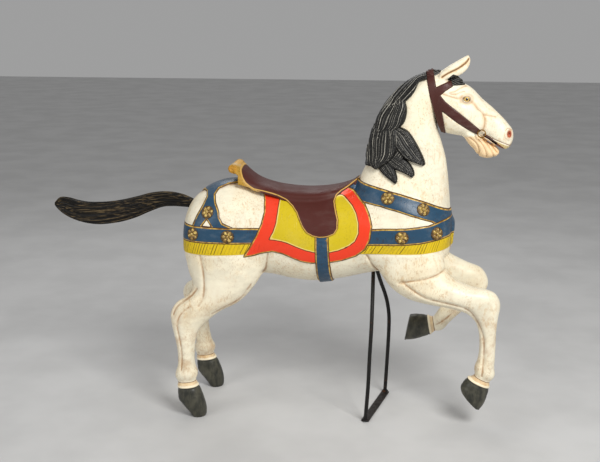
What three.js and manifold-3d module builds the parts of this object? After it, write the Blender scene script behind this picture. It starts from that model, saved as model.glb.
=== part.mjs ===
// A carved and painted carousel horse, rearing on its hind hooves, with its iron prop.
// Millimetres, +Z up, +X towards the head, +Y the horse's left side, floor at z = 0.
import * as THREE from 'three';
import * as BufferGeometryUtils from 'three/addons/utils/BufferGeometryUtils.js';
import Module from 'manifold-3d';

const wasm = await Module();
wasm.setup();

// ---------------------------------------------------------------- driving dimensions
const LENGTH_NOSE = 754;        // nose tip, forward of the middle
const LENGTH_TAIL = 753;        // tail tip, behind the middle
const HALF_BODY = 141;          // half the width of the barrel
const STRAP_RAISE = 4;          // harness and saddle cloth above the carved body
const FLAP_RAISE = 9;           // saddle flap above the carved body
const BRIDLE_RAISE = 4;
const ROSETTE_R = 19;
const ROD_D = 12.7;             // half-inch round iron
const FOOT_BAR = [268, 25, 6];  // length, width and thickness of the prop's foot
const GAP = 0.4;                // clearance of a seated piece

// ---------------------------------------------------------------- sections of the carving
// Each row is one section: front or upper edge x, z; rear or lower edge x, z; middle y; half width.
const torso = [
  [-296, 622, 552, 40], [-292, 650, 520, 66], [-282, 682, 490, 90], [-265, 710, 472, 111],
  [-238, 734, 463, 127], [-198, 757, 461, 137], [-148, 771, 463, HALF_BODY], [-98, 768, 466, 136],
  [-48, 751, 467, 130], [5, 740, 463, 131], [65, 733, 452, 138], [140, 731, 447, HALF_BODY],
  [225, 742, 459, HALF_BODY], [305, 752, 479, HALF_BODY], [365, 748, 491, 140],
  [425, 738, 501, 137], [480, 722, 513, 129], [528, 700, 525, 110], [555, 682, 541, 85],
  [567, 668, 556, 59], [572, 650, 576, 30],
].map(([x, top, bottom, half]) => [x, top, x, bottom, 0, half]);

const neck = [
  [290, 650, 556, 560, 0, 126], [276, 752, 570, 640, 0, 132], [280, 793, 567, 700, 0, 116],
  [299, 836, 562, 756, 0, 100], [312, 872, 556, 808, 0, 88], [321, 908, 547, 862, 0, 78],
  [332, 950, 534, 906, 0, 70], [351, 996, 522, 945, 0, 64], [382, 1044, 516, 985, 0, 58],
  [426, 1086, 520, 1020, 0, 52], [476, 1112, 535, 1050, 0, 46], [516, 1118, 552, 1080, 0, 38],
];

const head = [
  [497, 1108, 512, 962, 0, 42], [533, 1112, 528, 946, 0, 54], [572, 1102, 550, 937, 0, 58],
  [604, 1089, 574, 932, 0, 57], [629, 1071, 599, 929, 0, 52], [655, 1045, 626, 928, 0, 45],
  [684, 1021, 650, 927, 0, 40], [708, 999, 672, 922, 0, 36], [728, 979, 690, 911, 0, 36],
  [744, 959, 707, 899, 0, 36], [752, 942, 721, 892, 0, 33], [LENGTH_NOSE, 927, 733, 890, 0, 26],
  [751, 912, 742, 896, 0, 11],
];

const jaw = [
  [625, 952, 588, 938, 0, 37], [646, 938, 604, 922, 0, 36], [664, 925, 618, 903, 0, 33],
  [683, 911, 634, 887, 0, 31], [696, 902, 650, 867, 0, 29], [705, 895, 676, 860, 0, 28],
  [712, 886, 700, 865, 0, 22], [713, 880, 710, 872, 0, 9],
];

const ear = [
  [516, 1106, 534, 1096, 26, 13], [522, 1122, 549, 1106, 26, 15], [545, 1141, 577, 1115, 25, 14],
  [571, 1157, 600, 1132, 24, 11], [593, 1170, 611, 1150, 23, 7], [607, 1177, 613, 1168, 22, 2],
];

const nearForeleg = [
  [500, 610, 335, 540, -80, 48], [545, 560, 352, 503, -84, 54], [562, 517, 388, 455, -90, 56],
  [590, 486, 442, 421, -95, 54], [640, 466, 512, 404, -97, 48], [684, 458, 575, 394, -98, 42],
  [716, 445, 625, 380, -99, 37], [732, 413, 652, 358, -99, 34], [727, 368, 664, 334, -100, 31],
  [723, 320, 671, 303, -100, 28], [723, 255, 672, 255, -100, 26], [722, 205, 665, 210, -100, 27],
  [720, 170, 657, 180, -100, 29], [706, 134, 647, 160, -100, 27],
];
const nearForeHoof = [
  [705, 136, 641, 164, -100, 29], [707, 123, 629, 152, -100, 33], [695, 82, 619, 134, -100, 36],
  [679, 56, 620, 119, -100, 35],
];

const farForeleg = [
  [500, 610, 335, 545, 80, 48], [545, 575, 365, 515, 86, 54], [558, 540, 420, 470, 92, 55],
  [580, 519, 490, 437, 96, 50], [632, 494, 553, 417, 98, 44], [678, 475, 606, 398, 99, 38],
  [701, 434, 622, 390, 100, 34], [692, 396, 613, 387, 100, 33], [655, 355, 600, 382, 100, 30],
  [615, 320, 577, 359, 100, 28], [588, 293, 550, 331, 100, 27], [568, 272, 534, 313, 100, 28],
  [540, 249, 518, 303, 100, 29], [512, 241, 501, 300, 100, 27],
];
const farForeHoof = [
  [516, 239, 504, 302, 100, 29], [506, 234, 491, 305, 100, 33], [463, 219, 466, 306, 100, 36],
  [429, 214, 446, 303, 100, 35],
];

const hindLeg = [
  [-40, 640, -262, 650, 76, 54], [-28, 570, -280, 575, 78, 60], [-18, 520, -279, 520, 80, 62],
  [-33, 474, -270, 478, 84, 60], [-62, 430, -257, 446, 90, 55], [-105, 386, -262, 416, 98, 48],
  [-160, 357, -282, 396, 106, 41], [-205, 322, -308, 380, 112, 35], [-235, 290, -326, 350, 117, 32],
  [-246, 255, -325, 316, 121, 29], [-250, 214, -308, 238, 125, 27], [-249, 180, -304, 186, 128, 27],
  [-243, 146, -309, 150, 131, 29], [-240, 122, -311, 118, 133, 30], [-243, 102, -302, 96, 134, 27],
];
// the left hock stands a little further back
const HOCK_BACK = [0, 0, 0, -4, -12, -20, -24, -24, -20, -14, -8, -4, 0, 0, 0];
const hindHoof = [
  [-238, 104, -305, 97, 134, 29], [-229, 88, -306, 80, 135, 33], [-217, 54, -304, 58, 136, 35],
  [-211, 24, -294, 44, 135, 34], [-214, -8, -268, 14, 134, 30], [-220, -26, -250, -14, 134, 26],
];

const tail = [
  [-268, 700, -272, 677, 0, 11], [-288, 709, -287, 676, 0, 16], [-310, 717, -308, 677, 0, 19],
  [-341, 723, -340, 678, 0, 21], [-377, 724, -378, 674, 0, 23], [-419, 718, -424, 656, 0, 26],
  [-462, 706, -466, 637, 0, 28], [-506, 695, -512, 622, 0, 29], [-550, 687, -558, 613, 0, 29],
  [-595, 683, -604, 609, 0, 28], [-636, 682, -650, 613, 0, 26], [-670, 687, -690, 625, 0, 23],
  [-702, 695, -722, 641, 0, 18], [-732, 695, -742, 657, 0, 12], [-LENGTH_TAIL, 678, -LENGTH_TAIL, 668, 0, 4],
];

// ---------------------------------------------------------------- outlines of the trappings, x and z
const saddleFlap = [
  [-60, 772], [-17, 752], [40, 731], [62, 722], [76, 704], [88, 676], [104, 645], [122, 627],
  [148, 618], [180, 619], [206, 627], [220, 645], [221, 676], [211, 704], [202, 728], [208, 745],
  [235, 766], [268, 792], [268, 900], [-60, 900],
];
const blanket = [
  [-38, 900], [-35, 758], [-19, 722], [-15, 689], [-23, 652], [-38, 616], [-57, 582], [-79, 546],
  [-49, 550], [-20, 559], [13, 566], [45, 561], [74, 550], [104, 538], [140, 533], [200, 538],
  [240, 547], [280, 563], [308, 586], [322, 618], [328, 659], [321, 695], [309, 727], [287, 757],
  [262, 778], [262, 900],
];
const girth = [[150, 640], [155, 400], [203, 400], [191, 640]];
const hipBelt = [[-340, 641], [-30, 637], [-30, 557], [-190, 549], [-340, 550]];
const chestBelt = [
  [290, 646], [360, 651], [430, 654], [500, 662], [545, 674], [600, 692], [600, 594],
  [540, 580], [430, 571], [290, 570],
];
const shoulderStrap = [
  [240, 792], [273, 786], [344, 773], [415, 756], [486, 734], [534, 713], [600, 688], [600, 645],
  [532, 662], [472, 687], [400, 709], [352, 720], [300, 737], [262, 774],
];
const rearStrap = [
  [-340, 700], [-300, 690], [-255, 720], [-212, 734], [-215, 708], [-226, 686], [-238, 662],
  [-248, 638], [-140, 632], [-160, 642], [-173, 662], [-175, 690], [-187, 718], [-188, 744],
  [-172, 756], [-148, 765], [-109, 764], [-60, 752], [-60, 900], [-340, 900],
];
const crownStrap = [
  [456, 1160], [462, 1117], [473, 1075], [493, 1000], [509, 930], [532, 930], [516, 1000],
  [496, 1080], [487, 1116], [484, 1160],
];
const cheekStrap = [
  [492, 1050], [518, 1042], [562, 1010], [614, 966], [650, 948], [642, 928], [602, 950],
  [547, 998], [507, 1028],
];
const browBand = [[485, 1062], [520, 1086], [552, 1106], [562, 1096], [530, 1072], [498, 1050]];

// ---------------------------------------------------------------- the mane: one row a lock
// Root x, z; tip x, z; bow of the lock; half width; height above the neck.
const maneCrest = [
  [300, 800], [303, 822], [318, 848], [330, 900], [345, 950], [368, 1000], [400, 1046], [440, 1082],
  [486, 1108], [520, 1112], [548, 1128], [500, 1150], [430, 1130], [340, 1050], [280, 950], [270, 820],
];
const locks = [
  {
    raise: 17,
    edge: [[486, 1140], [452, 1098], [436, 1062], [416, 1033], [384, 1012], [352, 1000], [320, 1010],
      [380, 1110]],
  },
  {
    raise: 14,
    edge: [[352, 1030], [384, 1016], [413, 1028], [423, 1002], [419, 980], [408, 960], [380, 945], [318, 925],
      [318, 985]],
  },
  {
    raise: 11,
    edge: [[350, 965], [384, 955], [416, 955], [440, 934], [460, 908], [474, 878], [482, 845], [459, 852],
      [436, 859], [404, 874], [372, 905], [345, 930]],
  },
  {
    raise: 16,
    edge: [[312, 950], [350, 950], [384, 944], [398, 920], [396, 885], [380, 862], [350, 846], [312, 838],
      [300, 850], [300, 900]],
  },
  {
    raise: 9,
    edge: [[372, 905], [404, 888], [426, 864], [443, 838], [451, 811], [432, 815], [398, 826], [360, 846]],
  },
  { raise: 7, edge: [[345, 880], [378, 862], [392, 828], [399, 790], [378, 806], [350, 832], [330, 850]] },
];
const forelock = [
  [530, 1118, 540, 1090, 0, 15], [552, 1115, 558, 1086, 0, 19], [576, 1113, 580, 1084, 0, 17],
  [592, 1102, 594, 1088, 0, 8],
];

// ---------------------------------------------------------------- seat of the saddle, across the back
const seat = [
  [-127, 833, 813, 58], [-114, 832, 735, 78], [-98, 815, 712, 82], [-75, 794, 710, 82],
  [-45, 776, 706, 81], [0, 762, 702, 80], [50, 754, 700, 80], [110, 751, 700, 80],
  [165, 755, 705, 78], [210, 764, 710, 68], [245, 776, 722, 50], [270, 789, 745, 26],
].map(([x, top, bottom, half]) => [x, top, x, bottom, 0, half]);
const SCROLL = { x: -141, z: 815, r: 15, half: 66 };

// ---------------------------------------------------------------- shaping functions
function blend(a, b, c, d, t) {
  // Catmull-Rom between b and c
  return 0.5 * (2 * b + (c - a) * t + (2 * a - 5 * b + 4 * c - d) * t * t
    + (3 * b - a - 3 * c + d) * t * t * t);
}

function refine(rows, steps) {
  const out = [];
  for (let i = 0; i < rows.length - 1; i += 1) {
    const at = (k) => rows[Math.min(Math.max(k, 0), rows.length - 1)];
    for (let s = 0; s < steps; s += 1) {
      out.push(rows[i].map((_, c) => blend(at(i - 1)[c], at(i)[c], at(i + 1)[c], at(i + 2)[c], s / steps)));
    }
  }
  out.push(rows[rows.length - 1]);
  return out;
}

function power(value, exponent) {
  return Math.sign(value) * Math.abs(value) ** exponent;
}

function ring(row, around, grow, exponent) {
  const [xa, za, xb, zb, y, half] = row;
  const middle = new THREE.Vector3((xa + xb) / 2, y, (za + zb) / 2);
  const across = new THREE.Vector3(xa - xb, 0, za - zb);
  const reach = across.length() / 2 + grow;
  across.normalize();
  return Array.from({ length: around }, (_, i) => {
    const angle = (i / around) * Math.PI * 2;
    const p = middle.clone().addScaledVector(across, reach * power(Math.cos(angle), 2 / exponent));
    p.y += (half + grow) * power(Math.sin(angle), 2 / exponent);
    return p;
  });
}

function skin(rings) {
  // closes a run of rings with a fan at each end
  const count = rings[0].length;
  const points = rings.flat();
  const middleOf = (r) => r.reduce((sum, p) => sum.add(p), new THREE.Vector3()).divideScalar(count);
  points.push(middleOf(rings[0]), middleOf(rings[rings.length - 1]));
  const index = [];
  const last = (rings.length - 1) * count;
  for (let i = 0; i < count; i += 1) {
    const j = (i + 1) % count;
    for (let r = 0; r < last; r += count) {
      index.push(r + i, r + j, r + count + i, r + j, r + count + j, r + count + i);
    }
    index.push(points.length - 2, j, i, points.length - 1, last + i, last + j);
  }
  return closed(points.flatMap((p) => [p.x, p.y, p.z]), index);
}

function closed(positions, index) {
  // a solid that faces outwards, whichever way its rings ran
  const build = (tri) => new wasm.Manifold(new wasm.Mesh({
    numProp: 3, vertProperties: new Float32Array(positions), triVerts: new Uint32Array(tri),
  }));
  const solid = build(index);
  if (solid.volume() > 0) return solid;
  const turned = index.slice();
  for (let i = 0; i < turned.length; i += 3) {
    [turned[i], turned[i + 1]] = [turned[i + 1], turned[i]];
  }
  return build(turned);
}

function loft(rows, { around = 14, grow = 0, steps = 1, exponent = 2.2 } = {}) {
  return skin(refine(rows, steps).map((row) => ring(row, around, grow, exponent)));
}

function fromGeometry(geometry) {
  const bare = new THREE.BufferGeometry();
  bare.setAttribute('position', geometry.getAttribute('position'));
  if (geometry.index) bare.setIndex(geometry.index);
  const merged = BufferGeometryUtils.mergeVertices(bare, 1e-3);
  return closed(Array.from(merged.attributes.position.array), Array.from(merged.index.array));
}

function curtain(outline, yFrom, yTo) {
  // a side-view outline carried straight across the horse
  const shape = new THREE.Shape(outline.map(([x, z]) => new THREE.Vector2(x, z)));
  const geometry = new THREE.ExtrudeGeometry(shape, { depth: yTo - yFrom, bevelEnabled: false });
  geometry.rotateX(Math.PI / 2);
  geometry.translate(0, yTo, 0);
  return fromGeometry(geometry);
}

function box(width, depth, height, x, y, z, turn = 0) {
  const geometry = new THREE.BoxGeometry(width, depth, height);
  geometry.rotateZ(turn);
  geometry.translate(x, y, z);
  return fromGeometry(geometry);
}

function barrel(r0, r1, length, sides) {
  return new THREE.CylinderGeometry(r0, r1, length, sides);
}

function rod(points, radius, around) {
  // a bent round bar through the given points
  const curve = new THREE.CatmullRomCurve3(points.map((p) => new THREE.Vector3(...p)));
  const count = 12;
  const rings = [];
  for (let i = 0; i <= count; i += 1) {
    const at = curve.getPointAt(i / count);
    const along = curve.getTangentAt(i / count);
    const side = new THREE.Vector3(1, 0, 0).cross(along).normalize();
    const front = along.clone().cross(side);
    rings.push(Array.from({ length: around }, (_, k) => {
      const angle = (k / around) * Math.PI * 2;
      return at.clone().addScaledVector(side, radius * Math.cos(angle))
        .addScaledVector(front, radius * Math.sin(angle));
    }));
  }
  return skin(rings);
}

function mirrored(rows) {
  return rows.map((row) => row.map((v, i) => (i === 4 ? -v : v)));
}

function halfWidthAt(rows, x, z) {
  // half width of a loft at a point of its side view, 0 outside it
  let best = 0;
  for (let i = 0; i < rows.length - 1; i += 1) {
    const side = (r) => {
      const [xa, za, xb, zb] = r;
      const length = Math.hypot(xa - xb, za - zb);
      return ((x - (xa + xb) / 2) * (za - zb) - (z - (za + zb) / 2) * (xa - xb)) / length;
    };
    const s0 = side(rows[i]);
    const s1 = side(rows[i + 1]);
    if (s0 * s1 > 0 || s0 === s1) continue;
    const t = s0 / (s0 - s1);
    const row = rows[i].map((v, c) => v + (rows[i + 1][c] - v) * t);
    const [xa, za, xb, zb, , half] = row;
    const u = Math.hypot(x - (xa + xb) / 2, z - (za + zb) / 2) / (Math.hypot(xa - xb, za - zb) / 2);
    if (u < 1) best = Math.max(best, half * (1 - u ** 2.2) ** (1 / 2.2));
  }
  return best;
}

// ---------------------------------------------------------------- the carved figure
const made = new Map();

function kept(name, rows, around) {
  // the same skin is asked for many times, so it is made once for each raise
  return (grow) => {
    const key = `${name} ${grow}`;
    if (!made.has(key)) made.set(key, loft(rows, { around, grow }));
    return made.get(key);
  };
}

const torsoSkin = kept('torso', torso, 18);
const neckSkin = kept('neck', neck, 16);
const headSkin = kept('head', head, 14);
const farHindLeg = hindLeg.map(([xa, za, xb, zb, y, half], i) => [
  xa + HOCK_BACK[i], za, xb + HOCK_BACK[i], zb, y, half,
]);
const figure = [
  torsoSkin(0), neckSkin(0), headSkin(0), loft(jaw, { around: 10 }), loft(forelock, { around: 8 }),
  loft(ear, { around: 8 }), loft(mirrored(ear), { around: 8 }),
  loft(nearForeleg, { around: 10 }), loft(nearForeHoof, { around: 10 }),
  loft(farForeleg, { around: 10 }), loft(farForeHoof, { around: 10 }),
  loft(mirrored(hindLeg), { around: 10 }), loft(farHindLeg, { around: 10 }),
];
const floorCut = box(400, 600, 100, -250, 0, -50);
for (const rows of [hindHoof, mirrored(hindHoof)]) {
  figure.push(loft(rows, { around: 10 }).subtract(floorCut));
}

function joined(solids) {
  return solids.reduce((sum, next) => sum.add(next));
}

function across(outlines) {
  return joined(outlines.map((outline) => curtain(outline, -220, 220)));
}

// mane: a roll over the crest, and locks that fall on the right side
figure.push(neckSkin(12).intersect(curtain(maneCrest, -120, 60)));
for (const { raise, edge } of locks) {
  figure.push(neckSkin(raise).intersect(curtain(edge, -160, -8)));
}

// harness and saddle cloth at one height, then the flap, and the bridle on the head
const trappings = across([rearStrap, hipBelt, chestBelt, shoulderStrap, blanket, girth]);
const bridle = across([crownStrap, cheekStrap, browBand]);
figure.push(torsoSkin(STRAP_RAISE).add(neckSkin(STRAP_RAISE)).intersect(trappings));
figure.push(torsoSkin(FLAP_RAISE).intersect(across([saddleFlap])));
figure.push(headSkin(BRIDLE_RAISE).add(neckSkin(BRIDLE_RAISE)).intersect(bridle));
figure.push(loft(seat, { around: 16, exponent: 2.8 }));
const scroll = barrel(SCROLL.r, SCROLL.r, SCROLL.half * 2, 10);
scroll.translate(SCROLL.x, 0, SCROLL.z);
figure.push(fromGeometry(scroll));
let horse = joined(figure);

// rosettes on the belts, the same on both sides, each square to the wood under it
const rosettes = [
  [-256, 612], [-128, 610], [-198, 683], [374, 746], [484, 712], [421, 627], [528, 635],
];

function coat(x, z) {
  return Math.max(halfWidthAt(torso, x, z), halfWidthAt(neck, x, z));
}

for (const [x, z] of rosettes) {
  const y = coat(x, z);
  const slope = new THREE.Vector3(coat(x - 4, z) - coat(x + 4, z), 8, coat(x, z - 4) - coat(x, z + 4));
  for (const side of [-1, 1]) {
    const disc = barrel(ROSETTE_R * 0.65, ROSETTE_R, 20, 6);
    const outward = slope.clone().multiply(new THREE.Vector3(1, side, 1)).normalize();
    disc.applyQuaternion(new THREE.Quaternion().setFromUnitVectors(new THREE.Vector3(0, 1, 0), outward));
    disc.translate(x, side * y, z);
    horse = horse.add(fromGeometry(disc));
  }
}

// eye sockets, tail socket and the flat under the belly for the prop
const EYE = { x: 605, z: 1047, r: 10 };
const eyeY = halfWidthAt(head, EYE.x, EYE.z) - 7;
function ball(x, y, z, r, across, down) {
  const geometry = new THREE.SphereGeometry(r, across, down);
  geometry.translate(x, y, z);
  return fromGeometry(geometry);
}
for (const side of [-1, 1]) {
  horse = horse.subtract(ball(EYE.x, side * eyeY, EYE.z, EYE.r + GAP, 8, 5));
}
horse = horse.subtract(loft(tail.slice(0, 5), { around: 10, grow: GAP }));
const PLATE = { x: 332, y: 6, z: 491, length: 70, width: 44, thick: 5 };
horse = horse.subtract(box(PLATE.length + 6, PLATE.width + 6, 40, PLATE.x, PLATE.y, PLATE.z - 20));

// ---------------------------------------------------------------- the iron prop
const PLATE_TOP = PLATE.z - GAP;
const footTurn = Math.atan2(145 + 119, 366 - 313);
const nearRod = rod([
  [326, -6, PLATE_TOP - 3], [327, -30, 440], [328, -60, 385], [328, -90, 309], [325, -106, 220],
  [322, -114, 120], [315, -119, 3],
], ROD_D / 2, 8);
const farRod = rod([
  [334, 14, PLATE_TOP - 3], [347, 48, 432], [360, 84, 381], [369, 105, 337], [374, 118, 290],
  [374, 127, 235], [371, 133, 150], [364, 143, 3],
], ROD_D / 2, 8);
let prop = nearRod.add(farRod);
prop = prop.add(box(PLATE.length, PLATE.width, PLATE.thick, PLATE.x, PLATE.y, PLATE_TOP - PLATE.thick / 2));
prop = prop.subtract(box(200, 400, 20, 340, 0, -10));
prop = prop.add(box(FOOT_BAR[0], FOOT_BAR[1], FOOT_BAR[2], 340, 12, FOOT_BAR[2] / 2, footTurn));

// ---------------------------------------------------------------- nodes
const group = new THREE.Group();

function addNode(name, solid, colour, roughness, metalness) {
  const mesh = solid.getMesh();
  const geometry = new THREE.BufferGeometry();
  geometry.setAttribute('position', new THREE.Float32BufferAttribute(mesh.vertProperties, 3));
  geometry.setIndex(Array.from(mesh.triVerts));
  const material = new THREE.MeshStandardMaterial({ color: colour, roughness, metalness });
  const node = new THREE.Mesh(geometry, material);
  node.name = name;
  group.add(node);
}

addNode('horse', horse, 0xe9dcb8, 0.55, 0);
addNode('tail', loft(tail, { around: 10 }), 0x2a241f, 0.7, 0);
addNode('eye_right', ball(EYE.x, -eyeY, EYE.z, EYE.r, 8, 5), 0x8a5a18, 0.1, 0);
addNode('eye_left', ball(EYE.x, eyeY, EYE.z, EYE.r, 8, 5), 0x8a5a18, 0.1, 0);

const RING = { x: 655, z: 941, r: 12, wire: 1.8 };
const ringY = halfWidthAt(head, RING.x, RING.z + RING.r) + BRIDLE_RAISE + GAP + RING.wire;
for (const [name, side] of [['bit_ring_right', -1], ['bit_ring_left', 1]]) {
  const geometry = new THREE.TorusGeometry(RING.r, RING.wire, 6, 12);
  geometry.rotateX(Math.PI / 2);
  geometry.translate(RING.x, side * ringY, RING.z);
  addNode(name, fromGeometry(geometry), 0x7a6a45, 0.45, 1);
}
addNode('prop_stand', prop, 0x26221f, 0.6, 0.6);

export default group;
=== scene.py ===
"""A carved and painted carousel horse, rearing on its hind hooves, with its iron prop.

Sizes in the tables are millimetres, +X towards the head, +Y the horse's left, floor at z = 0.
"""

import math

import bmesh
import bpy
import numpy as np
from mathutils import Matrix, Vector


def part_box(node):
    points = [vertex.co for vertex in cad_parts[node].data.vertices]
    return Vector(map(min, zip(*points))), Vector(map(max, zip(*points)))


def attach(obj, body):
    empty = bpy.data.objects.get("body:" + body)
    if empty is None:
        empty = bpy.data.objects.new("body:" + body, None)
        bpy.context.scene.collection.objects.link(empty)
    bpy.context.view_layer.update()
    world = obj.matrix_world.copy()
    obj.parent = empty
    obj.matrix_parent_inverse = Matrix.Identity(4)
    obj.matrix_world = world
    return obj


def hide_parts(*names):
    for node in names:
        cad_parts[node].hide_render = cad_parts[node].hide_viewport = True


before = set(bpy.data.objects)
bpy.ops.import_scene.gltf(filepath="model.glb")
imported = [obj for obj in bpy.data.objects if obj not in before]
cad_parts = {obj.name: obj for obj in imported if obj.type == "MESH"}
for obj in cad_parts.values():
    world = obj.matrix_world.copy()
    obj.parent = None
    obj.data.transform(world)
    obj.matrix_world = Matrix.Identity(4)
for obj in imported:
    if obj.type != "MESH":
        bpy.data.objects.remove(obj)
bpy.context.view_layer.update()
MM = 0.001
FAR_OFF = 1e9

# ---------------------------------------------------------------- sections of the carving
# One row is one section: front or upper edge x, z; rear or lower edge x, z; middle y; half width.
TORSO = [
    (x, top, x, bottom, 0, half)
    for x, top, bottom, half in [
        (-296, 622, 552, 40), (-292, 650, 520, 66), (-282, 682, 490, 90), (-265, 710, 472, 111),
        (-238, 734, 463, 127), (-198, 757, 461, 137), (-148, 771, 463, 141), (-98, 768, 466, 136),
        (-48, 751, 467, 130), (5, 740, 463, 131), (65, 733, 452, 138), (140, 731, 447, 141),
        (225, 742, 459, 141), (305, 752, 479, 141), (365, 748, 491, 140), (425, 738, 501, 137),
        (480, 722, 513, 129), (528, 700, 525, 110), (555, 682, 541, 85), (567, 668, 556, 59),
        (572, 650, 576, 30),
    ]
]
NECK = [
    (290, 650, 556, 560, 0, 126), (276, 752, 570, 640, 0, 132), (280, 793, 567, 700, 0, 116),
    (299, 836, 562, 756, 0, 100), (312, 872, 556, 808, 0, 88), (321, 908, 547, 862, 0, 78),
    (332, 950, 534, 906, 0, 70), (351, 996, 522, 945, 0, 64), (382, 1044, 516, 985, 0, 58),
    (426, 1086, 520, 1020, 0, 52), (476, 1112, 535, 1050, 0, 46), (516, 1118, 552, 1080, 0, 38),
]
HEAD = [
    (497, 1108, 512, 962, 0, 42), (533, 1112, 528, 946, 0, 54), (572, 1102, 550, 937, 0, 58),
    (604, 1089, 574, 932, 0, 57), (629, 1071, 599, 929, 0, 52), (655, 1045, 626, 928, 0, 45),
    (684, 1021, 650, 927, 0, 40), (708, 999, 672, 922, 0, 36), (728, 979, 690, 911, 0, 36),
    (744, 959, 707, 899, 0, 36), (752, 942, 721, 892, 0, 33), (754, 927, 733, 890, 0, 26),
    (751, 912, 742, 896, 0, 11),
]
JAW = [
    (625, 952, 588, 938, 0, 37), (646, 938, 604, 922, 0, 36), (664, 925, 618, 903, 0, 33),
    (683, 911, 634, 887, 0, 31), (696, 902, 650, 867, 0, 29), (705, 895, 676, 860, 0, 28),
    (712, 886, 700, 865, 0, 22), (713, 880, 710, 872, 0, 9),
]
EAR = [
    (516, 1106, 534, 1096, 26, 13), (522, 1122, 549, 1106, 26, 15), (545, 1141, 577, 1115, 25, 14),
    (571, 1157, 600, 1132, 24, 11), (593, 1170, 611, 1150, 23, 7), (607, 1177, 613, 1168, 22, 2),
]
FORELOCK = [
    (530, 1118, 540, 1090, 0, 15), (552, 1115, 558, 1086, 0, 19), (576, 1113, 580, 1084, 0, 17),
    (592, 1102, 594, 1088, 0, 8),
]
NEAR_FORELEG = [
    (500, 610, 335, 540, -80, 48), (545, 560, 352, 503, -84, 54), (562, 517, 388, 455, -90, 56),
    (590, 486, 442, 421, -95, 54), (640, 466, 512, 404, -97, 48), (684, 458, 575, 394, -98, 42),
    (716, 445, 625, 380, -99, 37), (732, 413, 652, 358, -99, 34), (727, 368, 664, 334, -100, 31),
    (723, 320, 671, 303, -100, 28), (723, 255, 672, 255, -100, 26), (722, 205, 665, 210, -100, 27),
    (720, 170, 657, 180, -100, 29), (706, 134, 647, 160, -100, 27),
]
NEAR_FORE_HOOF = [
    (705, 136, 641, 164, -100, 29), (707, 123, 629, 152, -100, 33), (695, 82, 619, 134, -100, 36),
    (679, 56, 620, 119, -100, 35),
]
FAR_FORELEG = [
    (500, 610, 335, 545, 80, 48), (545, 575, 365, 515, 86, 54), (558, 540, 420, 470, 92, 55),
    (580, 519, 490, 437, 96, 50), (632, 494, 553, 417, 98, 44), (678, 475, 606, 398, 99, 38),
    (701, 434, 622, 390, 100, 34), (692, 396, 613, 387, 100, 33), (655, 355, 600, 382, 100, 30),
    (615, 320, 577, 359, 100, 28), (588, 293, 550, 331, 100, 27), (568, 272, 534, 313, 100, 28),
    (540, 249, 518, 303, 100, 29), (512, 241, 501, 300, 100, 27),
]
FAR_FORE_HOOF = [
    (516, 239, 504, 302, 100, 29), (506, 234, 491, 305, 100, 33), (463, 219, 466, 306, 100, 36),
    (429, 214, 446, 303, 100, 35),
]
HIND_LEG = [
    (-40, 640, -262, 650, 76, 54), (-28, 570, -280, 575, 78, 60), (-18, 520, -279, 520, 80, 62),
    (-33, 474, -270, 478, 84, 60), (-62, 430, -257, 446, 90, 55), (-105, 386, -262, 416, 98, 48),
    (-160, 357, -282, 396, 106, 41), (-205, 322, -308, 380, 112, 35),
    (-235, 290, -326, 350, 117, 32), (-246, 255, -325, 316, 121, 29),
    (-250, 214, -308, 238, 125, 27), (-249, 180, -304, 186, 128, 27),
    (-243, 146, -309, 150, 131, 29), (-240, 122, -311, 118, 133, 30),
    (-243, 102, -302, 96, 134, 27),
]
HOCK_BACK = [0, 0, 0, -4, -12, -20, -24, -24, -20, -14, -8, -4, 0, 0, 0]
HIND_HOOF = [
    (-238, 104, -305, 97, 134, 29), (-229, 88, -306, 80, 135, 33), (-217, 54, -304, 58, 136, 35),
    (-211, 24, -294, 44, 135, 34), (-214, -8, -268, 14, 134, 30), (-220, -26, -250, -14, 134, 26),
]
TAIL = [
    (-268, 700, -272, 677, 0, 11), (-288, 709, -287, 676, 0, 16), (-310, 717, -308, 677, 0, 19),
    (-341, 723, -340, 678, 0, 21), (-377, 724, -378, 674, 0, 23), (-419, 718, -424, 656, 0, 26),
    (-462, 706, -466, 637, 0, 28), (-506, 695, -512, 622, 0, 29), (-550, 687, -558, 613, 0, 29),
    (-595, 683, -604, 609, 0, 28), (-636, 682, -650, 613, 0, 26), (-670, 687, -690, 625, 0, 23),
    (-702, 695, -722, 641, 0, 18), (-732, 695, -742, 657, 0, 12), (-752, 678, -752, 668, 0, 4),
]
SEAT = [
    (x, top, x, bottom, 0, half)
    for x, top, bottom, half in [
        (-127, 833, 813, 58), (-114, 832, 735, 78), (-98, 815, 712, 82), (-75, 794, 710, 82),
        (-45, 776, 706, 81), (0, 762, 702, 80), (50, 754, 700, 80), (110, 751, 700, 80),
        (165, 755, 705, 78), (210, 764, 710, 68), (245, 776, 722, 50), (270, 789, 745, 26),
    ]
]

# ---------------------------------------------------------------- outlines in side view, x and z
BLANKET = [
    (-38, 900), (-35, 758), (-19, 722), (-15, 689), (-23, 652), (-38, 616), (-57, 582), (-79, 546),
    (-49, 550), (-20, 559), (13, 566), (45, 561), (74, 550), (104, 538), (140, 533), (200, 538),
    (240, 547), (280, 563), (308, 586), (322, 618), (327, 659), (318, 693), (302, 722), (276, 745),
    (248, 762), (226, 776), (226, 900),
]
FIELD = [
    (22, 900), (22, 747), (30, 731), (29, 691), (26, 658), (18, 630), (5, 607), (29, 606),
    (58, 601), (86, 590), (119, 578), (150, 572), (193, 573), (227, 582), (255, 595), (275, 612),
    (285, 637), (284, 666), (276, 694), (262, 716), (242, 731), (226, 741), (209, 741), (180, 780),
    (150, 900),
]
GIRTH = [(151, 645), (155, 400), (202, 400), (190, 645)]
HIP_BELT = [(-400, 640), (-20, 638), (-20, 590), (-400, 589)]
HIP_FRINGE = [(-400, 589), (-20, 590), (-20, 556), (-190, 548), (-400, 549)]
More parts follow.
